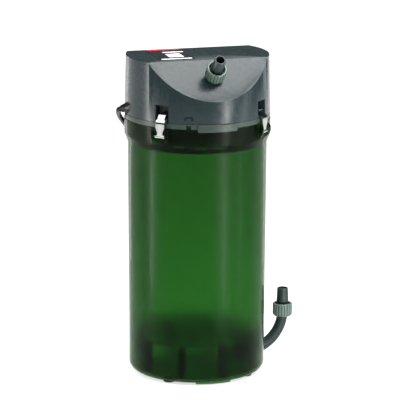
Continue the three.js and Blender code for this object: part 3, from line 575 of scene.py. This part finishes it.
MATERIALS = {
    "shell_outer": clear_green("shell_outer", (0.095, 0.27, 0.08), 0.09, 14, 0.1),
    "shell_inner": clear_green("shell_inner", (0.095, 0.27, 0.08), 0.6, 14, 0.0),
    "head": moulded("head_plastic", (0.010, 0.018, 0.019), 0.26, 0.14, 0.24),
    "band": moulded("band_plastic", (0.022, 0.035, 0.028), 0.36, 0.2, 0.22),
    # Painted shade: a darker copy of the band plastic for the head's plug, where it sits inside the
    # canister's collar.
    "plug": moulded("band_plastic_painted_shade", (0.012, 0.014, 0.012), 0.45),
    "connector": moulded("connector_plastic", (0.012, 0.021, 0.020), 0.32, 0.25, 0.26),
    "nut": moulded("nut_plastic", (0.07, 0.105, 0.088), 0.36, 0.25, 0.4),
    "screen": moulded("screen_plastic", (0.018, 0.03, 0.022), 0.45),
    "lattice": lattice_plastic("lattice_plastic", (0.03, 0.055, 0.03), (SCREEN["z"] - SCREEN["thick"]) * MM),
    "impeller": moulded("impeller_plastic", (0.66, 0.66, 0.62), 0.45),
    "steel": bright_steel("steel_strip"),
    "rubber": soft_rubber("rubber"),
    "cable": sheath("cable_sheath"),
    "copper": winding("copper_winding"),
    "core": laminated("core_laminations"),
    "magnet": moulded("ferrite", (0.02, 0.02, 0.022), 0.5, 0.5),
    "ceramic": moulded("ceramic", (0.74, 0.72, 0.67), 0.22, 0.1),
    "resin": moulded("cast_resin", (0.012, 0.016, 0.015), 0.25, 0.1),
    "blue": moulded("lead_blue", (0.02, 0.09, 0.28), 0.35),
    "brown": moulded("lead_brown", (0.1, 0.045, 0.02), 0.35),
    "label": film("label_black", (0.011, 0.013, 0.014), 0.24),
    "label_white": film("label_white", (0.78, 0.79, 0.8)),
    "label_red": film("label_red", (0.55, 0.015, 0.03)),
}
M = MATERIALS

# ------------------------------------------------------------------ power cord


def laid(across, behind, z):
    x = behind * math.sin(LAY_TURN) + across * math.cos(LAY_TURN)
    return Vector((x, behind * math.cos(LAY_TURN) - across * math.sin(LAY_TURN), z))


RELIEF_ROOT = Vector((-79, 0, 299.5))
RELIEF_OUT = Vector((-0.57, 0.77, -0.28)).normalized()
RELIEF_INSIDE, RELIEF_OUTSIDE = 12.0, 9.0

CORD_ROUTE = [
    RELIEF_ROOT + RELIEF_OUT * 9.6,
    RELIEF_ROOT + RELIEF_OUT * 12.0,
    Vector((-85.4, 14.6, 293.2)),
    Vector((-82.4, 24.6, 287.6)),
    Vector((-76.8, 36, 280.4)),
    Vector((-68.2, 49.5, 270.8)),
    laid(-73.5, 44, 259),
    laid(-67, 56, 241),
    laid(-61, 65, 217),
    laid(-57, 71, 188),
    laid(-54.5, 75, 155),
    laid(-53, 78, 120),
    laid(-52.6, 80.5, 88),
    laid(-53, 83.6, 60),
    laid(-53.6, 87.4, 36.5),
    laid(-54.2, 91.2, 21.6),
    laid(-54.6, 100, 12.8),
]
TAIL_ROUTE = [laid(8, 162.6, 3.6), laid(20.2, 160.6, 3.1), laid(30.6, 154.8, 3.4), laid(37.2, 147, 4.9),
              laid(39.7, 139.4, 6.7)]
PLUG_END = laid(40, 136, 7.2)


def smooth(t):
    t = min(1.0, max(0.0, t))
    return t * t * (3 - 2 * t)


def coil_turns():
    """Five and a quarter turns: in through the upper layer's columns, then out through the lower's."""
    low = COIL["base"] + CORD_R
    pitch = 2 * CORD_R
    slots = [(1, 1), (0, 1), (-1, 1), (-1, 0), (0, 0), (1, 0)]
    total, first, every, change = 1890, 230, 330, 100
    points = []
    steps = total // 15
    for i in range(steps + 1):
        travel = total * i / steps
        column, row = slots[0]
        for k in range(1, len(slots)):
            share = smooth((travel - first - every * (k - 1)) / change + 0.5)
            column += (slots[k][0] - slots[k - 1][0]) * share
            row += (slots[k][1] - slots[k - 1][1]) * share
        r = COIL["mean_r"] + column * pitch
        angle = math.pi - math.radians(travel)
        points.append(laid(COIL["across"] + r * math.cos(angle), COIL["behind"] + r * math.sin(angle),
                           low + row * pitch))
    return points


def power_cord():
    entry = [laid(-54.6, 112, 9.8)]
    lead_in = [PLUG_END + (TAIL_ROUTE[-1] - PLUG_END) * 0.1]
    route = CORD_ROUTE + entry + coil_turns() + TAIL_ROUTE + lead_in
    path = catmull(route, 2.6)
    cord = sweep("power_cord_sheath", path, CORD_R, 14, M["cable"])
    length = sum((b - a).length for a, b in zip(path, path[1:]))
    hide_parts("power_cord", "cord_coil", "cord_tail")
    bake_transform(cord)
    return cord, path, length * MM


def strain_relief():
    """A tapered, ringed boot that leaves the head's left side."""
    profile = [(0, -RELIEF_INSIDE), (5.6, -RELIEF_INSIDE), (5.6, 0.4)]
    start, end = 5.5, 3.6
    rings = 5
    for k in range(rings):
        z = 0.6 + k * (RELIEF_OUTSIDE - 0.8) / rings
        r = start + (end - start) * (z / RELIEF_OUTSIDE)
        profile += [(r, z), (r, z + 1.0), (r - 0.7, z + 1.1), (r - 0.7, z + 1.6)]
    profile += [(end, RELIEF_OUTSIDE - 0.3), (end - 0.3, RELIEF_OUTSIDE), (0, RELIEF_OUTSIDE)]
    boot = lathe("strain_relief_boot", profile, 48, M["cable"], 0.25)
    turn = Vector((0, 0, 1)).rotation_difference(RELIEF_OUT).to_matrix().to_4x4()
    transform(boot, Matrix.Translation(RELIEF_ROOT * MM) @ turn)
    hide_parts("cord_strain_relief")
    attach(boot, "head")
    return boot


def cord_tie():
    """A rubber strap round the coil, with a small buckle on top."""
    half = 3 * CORD_R + 0.35
    top = COIL["base"] + 4 * CORD_R + 0.4
    outline = [(half, top), (half, COIL["base"] - 0.3), (-half, COIL["base"] - 0.3), (-half, top)]
    outline = [Vector((x, 0, z)) for x, z in rounded_loop(outline, 1.6)]
    tie = band_loop("coil_tie", outline, 4.0, 0.8, M["rubber"])
    knob = block("tie_button", -2.6, 2.6, -2.2, 2.2, top - 0.2, top + 0.7, M["rubber"])
    tie = join("coil_tie_strap", [tie, bevel(knob, 0.3, 2)])
    place = Matrix.Translation(laid(COIL["across"], COIL["behind"], 0) * MM)
    transform(tie, place @ turn_z(-35) @ shift(COIL["mean_r"], 0, 0))
    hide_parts("cord_tie")
    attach(tie, "canister")
    return tie


def rounded_loop(corners, radius, steps=4):
    out = []
    count = len(corners)
    for i, corner in enumerate(corners):
        p = Vector(corner)
        a = (Vector(corners[i - 1]) - p).normalized() * radius
        b = (Vector(corners[(i + 1) % count]) - p).normalized() * radius
        for s in range(steps + 1):
            t = s / steps
            q = (p + a) * (1 - t) ** 2 + p * 2 * t * (1 - t) + (p + b) * t * t
            out.append((q.x, q.y))
    return out


def band_loop(name, loop, half_width, thickness, material):
    """A strap of rectangular section round a loop in the XZ plane."""
    count = len(loop)
    verts, faces = [], []
    for i, p in enumerate(loop):
        along = (loop[(i + 1) % count] - loop[i - 1]).normalized()
        out = Vector((along.z, 0, -along.x))
        corners = ((0, -half_width), (thickness, -half_width), (thickness, half_width), (0, half_width))
        for offset, y in corners:
            q = p - out * offset
            verts.append((q.x, y, q.z))
    for i in range(count):
        n = (i + 1) % count
        for k in range(4):
            m = (k + 1) % 4
            faces.append((i * 4 + k, i * 4 + m, n * 4 + m, n * 4 + k))
    return new_object(name, verts, faces, material, 35)


def mains_plug():
    frame_matrix = Matrix.Translation(PLUG_END * MM) @ Matrix.Rotation(-LAY_TURN, 4, "Z") @ Matrix.Rotation(
        math.pi / 2, 4, "X")
    outline = rounded_loop([(-6, 12.5), (-12.6, 21), (-13.4, 30), (-12, 36), (-12.5, 47), (12.5, 47),
                            (12, 36), (13.4, 30), (12.6, 21), (6, 12.5)], 1.8, 4)
    body = prism("plug_body", outline, -6.8, 6.8, M["cable"])
    transform(body, Matrix(((1, 0, 0, 0), (0, 0, 1, 0), (0, 1, 0, 0), (0, 0, 0, 1))))
    bevel(body, 2.2, 4, 40)
    profile = [(0, 0.3), (3.3, 0.3)]
    for k in range(4):
        z = 2.0 + 2.8 * k
        r = 3.5 + 0.32 * k
        profile += [(r, z), (r, z + 1.4), (r - 0.6, z + 1.6), (r - 0.6, z + 2.4)]
    profile += [(5, 13.4), (5, 16), (0, 16)]
    lead_in = lathe("plug_lead_in", profile, 40, M["cable"], 0.3)
    plug = join("plug_moulding", [body, lead_in])
    transform(plug, frame_matrix)
    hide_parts("mains_plug")
    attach(plug, "canister")
    pieces = [plug]
    for side, node in ((-1, "plug_pin_1"), (1, "plug_pin_2")):
        profile = [(0, 44.3), (2, 44.3), (2, 63.6), (1.7, 64.7), (1.1, 65.3), (0, 65.4)]
        pin = lathe(f"{node}_turned", profile, 32, M["steel"], 0.2)
        transform(pin, frame_matrix @ shift(side * 9.3, 0, 0))
        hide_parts(node)
        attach(pin, "canister")
        pieces.append(pin)
    return pieces


# ------------------------------------------------------------------ canister


def shell_profile():
    b = BODY
    inner = b["corner"] - b["wall"]
    floor_z = UNDERSIDE + b["wall"]
    outside = [(0, 1.6), (8.7, 1.6), (9.1, UNDERSIDE), (30, UNDERSIDE)]
    outside += arc(b["bottom_r"] - b["corner"], UNDERSIDE + b["corner"], b["corner"], -90, 0, 12)
    outside += [(b["bottom_r"] + (b["shoulder_r"] - b["bottom_r"]) * t, 11 + (b["shoulder_z"] - 11) * t)
                for t in (0.25, 0.5, 0.75)]
    outside += [(b["shoulder_r"], b["shoulder_z"]), (76.75, 260.2), (77.7, 263), (78.75, 265.8),
                (79.5, 267.6), (79.9, 268.8), (COLLAR_R, 270), (COLLAR_R, RIM_Z - 0.4),
                (COLLAR_R - 0.4, RIM_Z)]
    rim = [(COLLAR_R - b["wall"] + 0.4, RIM_Z), (COLLAR_R - b["wall"], RIM_Z - 0.4)]
    inside = [(COLLAR_R - b["wall"], 267.4), (76.2, 265.2), (74.6, 261.2), (73.6, 257.6),
              (b["shoulder_r"] - b["wall"], 255.5)]
    inside += arc(b["bottom_r"] - b["corner"], floor_z + inner, inner, 0, -90, 8)
    inside += [(30, floor_z), (0, floor_z)]
    return outside + rim + inside


def ear_piece(side):
    reach = 85.6
    low, high = 272.0, 285.6
    profile = [(COLLAR_R - 1.5, low - 2.4), (COLLAR_R + 0.4, low - 2), (COLLAR_R + 2.4, low - 0.9),
               (reach - 1.6, low + 1.5), (reach - 0.5, low + 3.3), (reach, low + 5.5), (reach, high - 4.6),
               (reach - 0.6, high - 2.8), (reach - 1.6, high - 1.2), (reach - 2.8, high),
               (COLLAR_R - 1.5, high)]
    x0, x1 = (5.9, 10.2) if side > 0 else (-10.2, -5.9)
    ear = sideways("ear", profile, x0, x1, [M["shell_outer"], M["shell_inner"]])
    return bevel(ear, 0.7, 2, 40)


def canister():
    profile = shell_profile()
    shell = lathe("canister_moulding", profile, 180, [M["shell_outer"], M["shell_inner"]], smooth_angle=30)
    for face in shell.data.polygons:
        centre, normal = face.center, face.normal
        radial = Vector((centre.x, centre.y, 0))
        facing_in = normal.dot(radial) < -0.01 * radial.length
        above_floor = normal.z > 0.5 and centre.z < 0.02
        face.material_index = 1 if facing_in or above_floor else 0
    p = POCKET
    housing = block("pocket_housing", p["wall_x"] - p["wall"], 74.2, -p["half"] - p["wall"],
                    p["half"] + p["wall"], UNDERSIDE + 1, p["ceiling_z"] + p["wall"],
                    [M["shell_outer"], M["shell_inner"]])
    trim = lathe("pocket_trim", [(0, 0), (64, 2.4), (70, 5), (73.4, 10), (74.4, 40), (0, 40)], 90, None)
    boolean(housing, trim, "INTERSECT")
    housing.data.polygons.foreach_set("material_index", [1] * len(housing.data.polygons))
    boolean(shell, housing, "UNION")
    cavity = block("pocket_cavity", p["wall_x"], 90, -p["half"], p["half"], p["floor_z"], p["ceiling_z"],
                   [M["shell_outer"], M["shell_inner"]])
    boolean(shell, bevel(cavity, 2.5, 3, 40), "DIFFERENCE")
    hole = lathe("hole", [(0, 0), (TUBE_R + 0.7, 0), (TUBE_R + 0.7, 20), (0, 20)], 40,
                 [M["shell_outer"], M["shell_inner"]])
    transform(hole, shift(p["wall_x"] - 10, 0, INLET["z"]) @ Matrix.Rotation(math.pi / 2, 4, "Y"))
    boolean(shell, hole, "DIFFERENCE")
    f = FRONT_RIB
    edge = arc(0, 0, f["outer"], -90 - f["half_angle"], -90 + f["half_angle"], 16)
    edge += arc(0, 0, f["inner"], -90 + f["half_angle"], -90 - f["half_angle"], 16)
    rib = prism("front_rib", edge, f["bottom"], UNDERSIDE + 1.5, [M["shell_outer"], M["shell_inner"]])
    boolean(shell, bevel(rib, 0.6, 2, 60), "UNION")
    for bearing in BEARINGS.values():
        for side in (-1, 1):
            boolean(shell, transform(ear_piece(side), turn_z(bearing)), "UNION")
        axle = lathe("axle_hole", [(0, -7.7), (1.9, -7.7), (1.9, 7.7), (0, 7.7)], 24,
                     [M["shell_outer"], M["shell_inner"]])
        place = turn_z(bearing) @ shift(0, -PIVOT_R, PIVOT_Z) @ Matrix.Rotation(math.pi / 2, 4, "Y")
        boolean(shell, transform(axle, place), "DIFFERENCE")
        socket = lathe("foot_socket", [(0, -5), (5.3, -5), (5.3, UNDERSIDE + 1.2), (0, UNDERSIDE + 1.2)], 32,
                       [M["shell_outer"], M["shell_inner"]])
        boolean(shell, transform(socket, turn_z(bearing) @ shift(0, -FOOT_R, 0)), "DIFFERENCE")
    tidy(shell, 30)
    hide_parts("canister_shell")
    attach(shell, "canister")
    return shell


def feet():
    profile = [(0, 0), (5.3, 0), (6.1, 0.25), (6.5, 0.9), (6.5, 1.4), (6.2, 1.7), (5, 1.7), (5, 2.9),
               (0, 2.9)]
    for i, bearing in enumerate((-45, 45, 135, -135)):
        foot = lathe(f"foot_pad_{i + 1}", profile, 40, M["rubber"], 0.15)
        transform(foot, turn_z(bearing) @ shift(0, -FOOT_R, 0))
        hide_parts(f"foot_{i + 1}")
        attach(foot, "canister")


# ------------------------------------------------------------------ hose connectors


def hose_tail(length):
    shoulder = length - FLARE
    return [(0, shoulder - 4), (TUBE_R - 0.4, shoulder - 4), (TUBE_R - 0.4, shoulder),
            (TAIL_R, shoulder + 1.3), (TAIL_R, shoulder + 2.6), (TIP_R, length - 0.8),
            (TIP_R - 0.4, length), (0, length)]


def connector(name, path, frame_matrix, tail_length, flange, node, body, bore_path):
    tube = sweep(name, path, TUBE_R, 40, M["connector"])
    tail = lathe("tail", hose_tail(tail_length), 48, M["connector"], 0.35)
    transform(tail, frame_matrix)
    boolean(tube, tail, "UNION")
    boolean(tube, flange, "UNION")
    bore = sweep("bore", bore_path, BORE_R, 32, M["connector"])
    boolean(tube, bore, "DIFFERENCE")
    tidy(tube, 30)
    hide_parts(node)
    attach(tube, body)
    return tube


def elbow_path(x0, top):
    i = INLET
    points = [(x0, 0, i["z"]), (i["x"] - i["bend"], 0, i["z"])]
    for k in range(1, 25):
        a = math.pi / 2 * k / 24
        across = i["x"] - i["bend"] + i["bend"] * math.sin(a)
        points.append((across, 0, i["z"] + i["bend"] * (1 - math.cos(a))))
    points.append((i["x"], 0, top))
    return points


def inlet():
    i = INLET
    flange = lathe("flange", [(3.9, 0), (9.4, 0), (9.4, 2.4), (3.9, 2.4)], 48, M["connector"], 0.4)
    transform(flange, shift(POCKET["wall_x"] + 1.8, 0, i["z"]) @ Matrix.Rotation(math.pi / 2, 4, "Y"))
    connector("inlet_elbow_moulding", elbow_path(i["inner_x"], i["tip"] - 18),
              shift(i["x"], 0, i["tip"] - 22), 22, flange, "inlet_elbow", "canister",
              elbow_path(i["inner_x"] - 2, i["tip"] + 3))
    nut = hose_nut("inlet_nut_ribbed")
    transform(nut, shift(i["x"], 0, span("inlet_hose_nut", 2)[0]))
    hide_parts("inlet_hose_nut")
    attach(nut, "inlet_nut")


def outlet_matrix():
    z = TOP_Z - (HEAD["slant_y"] - OUTLET["y"])
    return shift(OUTLET["x"], OUTLET["y"], z) @ Matrix.Rotation(math.radians(45), 4, "X")


def outlet_path(start_z, reach):
    o = OUTLET
    out = Vector((0, -math.sqrt(0.5), math.sqrt(0.5)))
    foot = outlet_matrix().translation / MM
    bend_end = foot - out * o["reach"]
    axis_y = bend_end.y + o["bend"] * (1 - math.sqrt(0.5))
    bend_z = bend_end.z - o["bend"] * math.sqrt(0.5)
    points = [(o["x"], axis_y, start_z), (o["x"], axis_y, bend_z)]
    for k in range(1, 13):
        a = math.pi / 4 * k / 12
        points.append((o["x"], axis_y - o["bend"] * (1 - math.cos(a)), bend_z + o["bend"] * math.sin(a)))
    points.append(tuple(foot + out * reach))
    return points, axis_y


def outlet():
    o = OUTLET
    place = outlet_matrix()
    ring = [(3.9, 0.3), (8.6, 0.3), (8.6, 1.8), (7.6, 2.6), (3.9, 2.6)]
    collar = lathe("collar", ring, 48, M["connector"], 0.3)
    transform(collar, place)
    connector("outlet_spigot_moulding", outlet_path(o["duct_z"], o["tip"] - 18)[0], place, o["tip"], collar,
              "outlet_spigot", "head", outlet_path(o["duct_z"] - 2, o["tip"] + 3)[0])
    nut = hose_nut("outlet_nut_ribbed")
    transform(nut, place @ shift(0, 0, o["nut"]))
    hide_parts("outlet_hose_nut")
    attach(nut, "outlet_nut")


def hose_nut(name):
    """A ribbed hose nut on +Z: tapered foot, raised ribs that stop short of the ends, a wide mouth."""
    length, ribs = 14.6, 20
    outline = []
    for k in range(ribs):
        middle = 360 / ribs * k
        for turn, r in ((-7.4, 10.15), (-5.6, 10.25), (-4.2, 10.8), (-3.0, 11), (3.0, 11), (4.2, 10.8),
                        (5.6, 10.25), (7.4, 10.15)):
            a = math.radians(middle + turn)
            outline.append((r * math.cos(a), r * math.sin(a)))
    nut = prism(name, outline, 0, length, M["nut"])
    blank = lathe("blank", [(0, 0), (9.3, 0), (10.2, 0.9), (11.3, 2.8), (11.3, length - 1.3), (10.3, length),
                            (0, length)], 96, M["nut"], 0.3)
    boolean(nut, blank, "INTERSECT")
    mouth = lathe("mouth", [(0, -1), (TUBE_R + 0.9, -1), (TUBE_R + 0.9, 7.4), (8.3, 7.4), (8.7, length - 0.5),
                            (9.3, length + 0.1), (9.3, length + 1), (0, length + 1)], 64, M["nut"])
    boolean(nut, mouth, "DIFFERENCE")
    return tidy(nut, 28)


# ------------------------------------------------------------------ pump head


def head_outline(radius, back_y, corner, steps=10):
    corner_y = back_y - corner
    corner_x = math.sqrt((radius - corner) ** 2 - corner_y ** 2)
    meet = math.degrees(math.atan2(corner_y, corner_x))
    points = arc(corner_x, corner_y, corner, meet, 90, steps)
    points += arc(-corner_x, corner_y, corner, 90, 180 - meet, steps)
    points += arc(0, 0, radius, 180 - meet, 360 + meet, 150)[1:-1]
    return points


def head_form(inset, material, edge):
    h = HEAD
    base = COVER_Z if inset == 0 else COVER_Z - 3
    top = TOP_Z - inset
    form = lathe("head_form", [(0, base), (HEAD_R - inset, base), (h["high_r"] - inset, top), (0, top)], 200,
                 material)
    cutter = block("back_cutter", -95, 95, 0, 110, h["ledge_z"] - inset, TOP_Z + 20)
    keep = prism("keep", head_outline(HEAD_R + 3.5 - inset, h["back_y"] - inset, h["corner"]),
                 h["ledge_z"] - inset - 5, TOP_Z + 25)
    boolean(cutter, keep, "DIFFERENCE")
    boolean(form, cutter, "DIFFERENCE")
    slant = block("slant_cutter", -100, 100, -100, 100, 0, 120)
    drop = inset * math.sqrt(2)
    transform(slant, shift(0, h["slant_y"], TOP_Z - drop) @ Matrix.Rotation(math.radians(45), 4, "X"))
    boolean(form, slant, "DIFFERENCE")
    tidy(form, 30)
    if edge:
        bevel(form, edge, 3, 25)
    return form


def recess(grow, rise):
    r = RECESS
    return block("recess", -r["half"] - grow, r["half"] + grow, -HEAD_R - 6, -r["floor_r"] + grow,
                 COVER_Z - 3, r["top"] + rise, M["head"])


def head_cover():
    cavity = head_form(HEAD["wall"], M["head"], 0)
    for bearing in BEARINGS.values():
        boolean(cavity, transform(recess(2, 2), turn_z(bearing)), "DIFFERENCE")
    cover = head_form(0, M["head"], 1.1)
    boolean(cover, cavity, "DIFFERENCE")
    for bearing in BEARINGS.values():
        boolean(cover, transform(bevel(recess(0, 0), 0.8, 3, 40), turn_z(bearing)), "DIFFERENCE")
    hole = lathe("spigot_hole", [(0, -8), (TUBE_R + 0.3, -8), (TUBE_R + 0.3, 8), (0, 8)], 48, M["head"])
    boolean(cover, transform(hole, outlet_matrix()), "DIFFERENCE")
    socket = lathe("relief_hole", [(0, -14), (6.0, -14), (6.0, 0.5), (5.2, 8), (0, 8)], 48, M["head"])
    turn = Vector((0, 0, 1)).rotation_difference(RELIEF_OUT).to_matrix().to_4x4()
    boolean(cover, transform(socket, Matrix.Translation(RELIEF_ROOT * MM) @ turn), "DIFFERENCE")
    for bearing in (-23, 157):
        for x0, x1, z0, z1 in ((-4.6, 4.6, 298.7, 300.3), (-4.6, -3.1, 296, 300), (3.1, 4.6, 296, 300)):
            groove = block("groove", x0, x1, -HEAD_R - 2, -HEAD_R + 2.1, z0, z1, M["head"])
            boolean(cover, transform(groove, turn_z(bearing)), "DIFFERENCE")
    tidy(cover, 30)
    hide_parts("head_cover")
    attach(cover, "head")
    return cover


def head_base():
    """The head's lower casing: a band round the outside, a plug into the canister, a chamber and a well."""
    chamber, ceiling, well, top = 24.0, 279.0, 14.0, 317.5
    profile = [
        (0, top), (well, top), (well, ceiling), (chamber, ceiling), (chamber, 268), (76.6, 268),
        (76.6, 275.5), (74.4, 275.5), (74.4, 279.5), (76.6, 279.5), (76.6, RIM_Z + 0.3),
        (HEAD_R, RIM_Z + 0.3),
        (HEAD_R, BAND_TOP), (72, BAND_TOP), (72, 271), (27, 271), (27, ceiling + 3), (16.5, ceiling + 3),
        (16.5, top + 2.5), (0, top + 2.5),
    ]
    base = lathe("head_base_moulding", profile, 180, M["band"], 0.45)
    duct_y = outlet_path(OUTLET["duct_z"], 0)[1]
    x = OUTLET["x"]
    boolean(base, block("boss", x - 9.5, x + 9.5, duct_y - 9.5, -23.9, 270, ceiling + 2, M["band"]), "UNION")
    boolean(base, block("duct", x - 5, x + 5, duct_y - 5, -18, 271.5, ceiling - 0.5, M["band"]), "DIFFERENCE")
    pipe = lathe("pipe_hole", [(0, 272.3), (BORE_R, 272.3), (BORE_R, 300), (0, 300)], 32, M["band"])
    boolean(base, transform(pipe, shift(x, duct_y, 0)), "DIFFERENCE")
    left, right = -105.6, -74.4
    tab = prism("tab", arc(0, 0, 82, left, right, 24) + arc(0, 0, 80.4, right, left, 24), 283.6, 291.4,
                M["band"])
    bridge = prism("bridge", arc(0, 0, 81.2, left, right, 24) + arc(0, 0, 78, right, left, 24), 286.6, 291.2,
                   M["band"])
    boolean(base, bevel(tab, 0.5, 3, 40), "UNION")
    boolean(base, bridge, "UNION")
    notch = block("notch", -2.6, 2.6, -84, -75.5, 284, 290.8, M["band"])
    boolean(base, transform(notch, turn_z(-23)), "DIFFERENCE")
    ledge = [(70.5, 291), (78.2, 291), (78.2, 293.4), (75.4, 296.6), (70.5, 296.9)]
    for bearing in BEARINGS.values():
        piece = bevel(sideways("ledge", ledge, -5.2, 5.2, M["band"]), 0.5, 2, 40)
        boolean(base, transform(piece, turn_z(bearing)), "UNION")
    for x in (-46, 46):
        for y in (-34, 22):
            hole = lathe("screw_hole", [(0, 260), (1.9, 260), (1.9, 275), (0, 275)], 24, M["band"])
            boolean(base, transform(hole, shift(x, y, 0)), "DIFFERENCE")
    tidy(base, 30)
    # The plug's faces inside the canister get the darker copy, which is painted shade.
    base.data.materials.append(M["plug"])
    for face in base.data.polygons:
        if face.center.z < (RIM_Z - 0.5) * MM and face.center.to_2d().length < 79 * MM:
            face.material_index = len(base.data.materials) - 1
    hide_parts("head_base")
    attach(base, "head")
    return base


def label():
    """A black film label with plain bars where a maker would print words."""
    x0, x1 = LABEL_X
    y0, y1 = LABEL_Y
    z = TOP_Z + 0.05
    plate = prism("label_film", rounded_loop([(x0, y0), (x1, y0), (x1, y1), (x0, y1)], 2.0, 5), z, z + 0.4,
                  M["label"])
    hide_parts("label_plate")
    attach(plate, "head")
    bars = [
        ("label_red_bar", M["label_red"], x0 + 2, x1 - 1.5, y1 - 6.5, y1 - 2),
        ("label_white_bar_top", M["label_white"], x0 + 15, x1 - 2, 11, 15.5),
        ("label_white_block", M["label_white"], x0 + 15, x1 - 9, -17, 3),
        ("label_white_bar_foot", M["label_white"], x0 + 3, x1 - 3, y0 + 2, y0 + 6),
    ]
    for name, material, bx0, bx1, by0, by1 in bars:
        bar = prism(name, rounded_loop([(bx0, by0), (bx1, by0), (bx1, by1), (bx0, by1)], 0.6, 3), z + 0.38,
                    z + 0.48, material)
        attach(bar, "head")


# ------------------------------------------------------------------ clips

CLIP_LINE = [(83, 277.5), (83, 286), (82.7, 292.6), (81.6, 294.2), (79.6, 297.6), (77.4, 300.3), (75, 301.4),
             (72.8, 300.6), (71.4, 298.6)]


def clip(name, bearing):
    """A pressed steel strip: T foot rolled round an axle, narrow waist, wide plate, curled hook."""
    line = [Vector((0, r, z)) for r, z in CLIP_LINE]
    line = [(p.y, p.z) for p in catmull(line, 0.8)]
    half_thick = 0.5
    left, right = [], []
    for i, (r, z) in enumerate(line):
        a, b = line[max(i - 1, 0)], line[min(i + 1, len(line) - 1)]
        tangent = Vector((b[0] - a[0], b[1] - a[1])).normalized()
        left.append((r + half_thick * tangent.y, z - half_thick * tangent.x))
        right.append((r - half_thick * tangent.y, z + half_thick * tangent.x))
    strip = sideways("strip", left + right[::-1], -5.6, 5.6, M["steel"])
    face = rounded_loop([(-5.5, 270), (5.5, 270), (5.5, 278.6), (3.3, 279.6), (3.3, 282.2), (5.3, 287),
                         (5.3, 293), (5.6, 294.8), (4.2, 296.2), (4.2, 310), (-4.2, 310), (-4.2, 296.2),
                         (-5.6, 294.8),
                         (-5.3, 293), (-5.3, 287), (-3.3, 282.2), (-3.3, 279.6), (-5.5, 278.6)], 0.45, 3)
    outline = prism("outline", face, 0, 40, M["steel"])
    transform(outline, shift(0, -60, 0) @ Matrix.Rotation(math.pi / 2, 4, "X"))
    boolean(strip, outline, "INTERSECT")
    axle = lathe("axle", [(0, -7.2), (1.6, -7.2), (1.6, 7.2), (0, 7.2)], 32, M["steel"], 0.3)
    transform(axle, shift(0, -PIVOT_R, PIVOT_Z) @ Matrix.Rotation(math.pi / 2, 4, "Y"))
    boolean(strip, axle, "UNION")
    strip.name = f"{name}_strip"
    tidy(strip, 30)
    transform(strip, turn_z(bearing))
    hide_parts(name)
    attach(strip, f"{name}_arm")
    return strip


# ------------------------------------------------------------------ pieces kept from the CAD model

KEPT = {
    "lower_screen": "lattice", "upper_screen": "screen", "inlet_seal": "rubber", "inlet_locknut": "connector",
    "head_seal": "rubber", "cover_screw_1": "steel", "cover_screw_2": "steel", "cover_screw_3": "steel",
    "cover_screw_4": "steel", "chamber_cover": "head", "rotor_shaft": "ceramic", "shaft_bush_lower": "rubber",
    "shaft_bush_upper": "rubber", "impeller": "impeller", "rotor_magnet": "magnet", "stator_core": "core",
    "stator_coil": "copper", "coil_flange_left": "impeller", "coil_flange_right": "impeller",
    "motor_potting": "resin", "motor_lead_1": "blue", "motor_lead_2": "brown",
}


def finish_kept_nodes():
    for node, material in KEPT.items():
        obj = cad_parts[node]
        obj = obj if isinstance(obj, bpy.types.Object) else bpy.data.objects[node]
        for slot in obj.material_slots:
            slot.material = M[material]
        if not obj.material_slots:
            obj.data.materials.append(M[material])


# ------------------------------------------------------------------ studio


def studio():
    world = bpy.data.worlds.new("studio")
    bpy.context.scene.world = world
    world.use_nodes = True
    tree = world.node_tree
    background = tree.nodes["Background"]
    coords = tree.nodes.new("ShaderNodeTexCoord")
    split = tree.nodes.new("ShaderNodeSeparateXYZ")
    ramp = tree.nodes.new("ShaderNodeValToRGB")
    tree.links.new(coords.outputs["Generated"], split.inputs[0])
    tree.links.new(split.outputs["Z"], ramp.inputs["Fac"])
    tree.links.new(ramp.outputs["Color"], background.inputs["Color"])
    low, high = ramp.color_ramp.elements
    low.position = 0.42
    low.color = (0.014, 0.015, 0.016, 1)
    high.position = 0.66
    high.color = (1, 1, 1, 1)
    background.inputs["Strength"].default_value = 2.3

    reach, level = 9000, -0.3
    corners = [(-reach, -reach, level), (reach, -reach, level), (reach, reach, level), (-reach, reach, level)]
    floor = new_object("floor", corners, [(0, 1, 2, 3)], None)
    s = Shader("floor_paper")
    s.colour(s.mix(s.ramp(s.noise(3, 4), 0.3, 0.7, 0, 1), (0.34, 0.34, 0.34), (0.36, 0.36, 0.36)))
    s.set(Roughness=0.9, Specular_IOR_Level=0.2, Emission_Color=(1, 1, 1, 1), Emission_Strength=0.62)
    floor.data.materials.append(s.material)

    def area(name, azimuth, elevation, distance, size, power, aim_z=0.18, colour=(1, 1, 1)):
        data = bpy.data.lights.new(name, "AREA")
        data.shape = "RECTANGLE"
        data.size, data.size_y = size
        data.energy = power
        data.color = colour
        light = bpy.data.objects.new(name, data)
        target = Vector((0, 0, aim_z))
        light.location = target + direction(azimuth, elevation) * distance
        look_at(light, target)
        bpy.context.collection.objects.link(light)

    area("overhead", 50, 69, 1.5, (1.2, 1.1), 40)
    strip = (0.06, 0.42)
    near, middle = 0.42, 0.215
    area("left_strip", CAMERA_AZIMUTH - 74, 0, near, strip, 1.7, middle)
    area("right_strip", CAMERA_AZIMUTH + 42, 0, near, strip, 1.8, middle)
    area("right_fill", CAMERA_AZIMUTH + 70, 0, near, strip, 0.4, middle)
    area("left_rim", CAMERA_AZIMUTH - 140, 0, 0.5, strip, 0.16, middle)
    area("right_rim", CAMERA_AZIMUTH + 140, 0, 0.5, strip, 0.1, middle)


# ------------------------------------------------------------------ build

make_camera()
cord, cord_path, cord_length = power_cord()
boot = strain_relief()
tie = cord_tie()
plug_pieces = mains_plug()

canister()
feet()
inlet()
head_base()
head_cover()
outlet()
label()
for clip_name, clip_bearing in BEARINGS.items():
    clip(clip_name, clip_bearing)
finish_kept_nodes()
studio()
bpy.context.scene.view_settings.view_transform = "Standard"
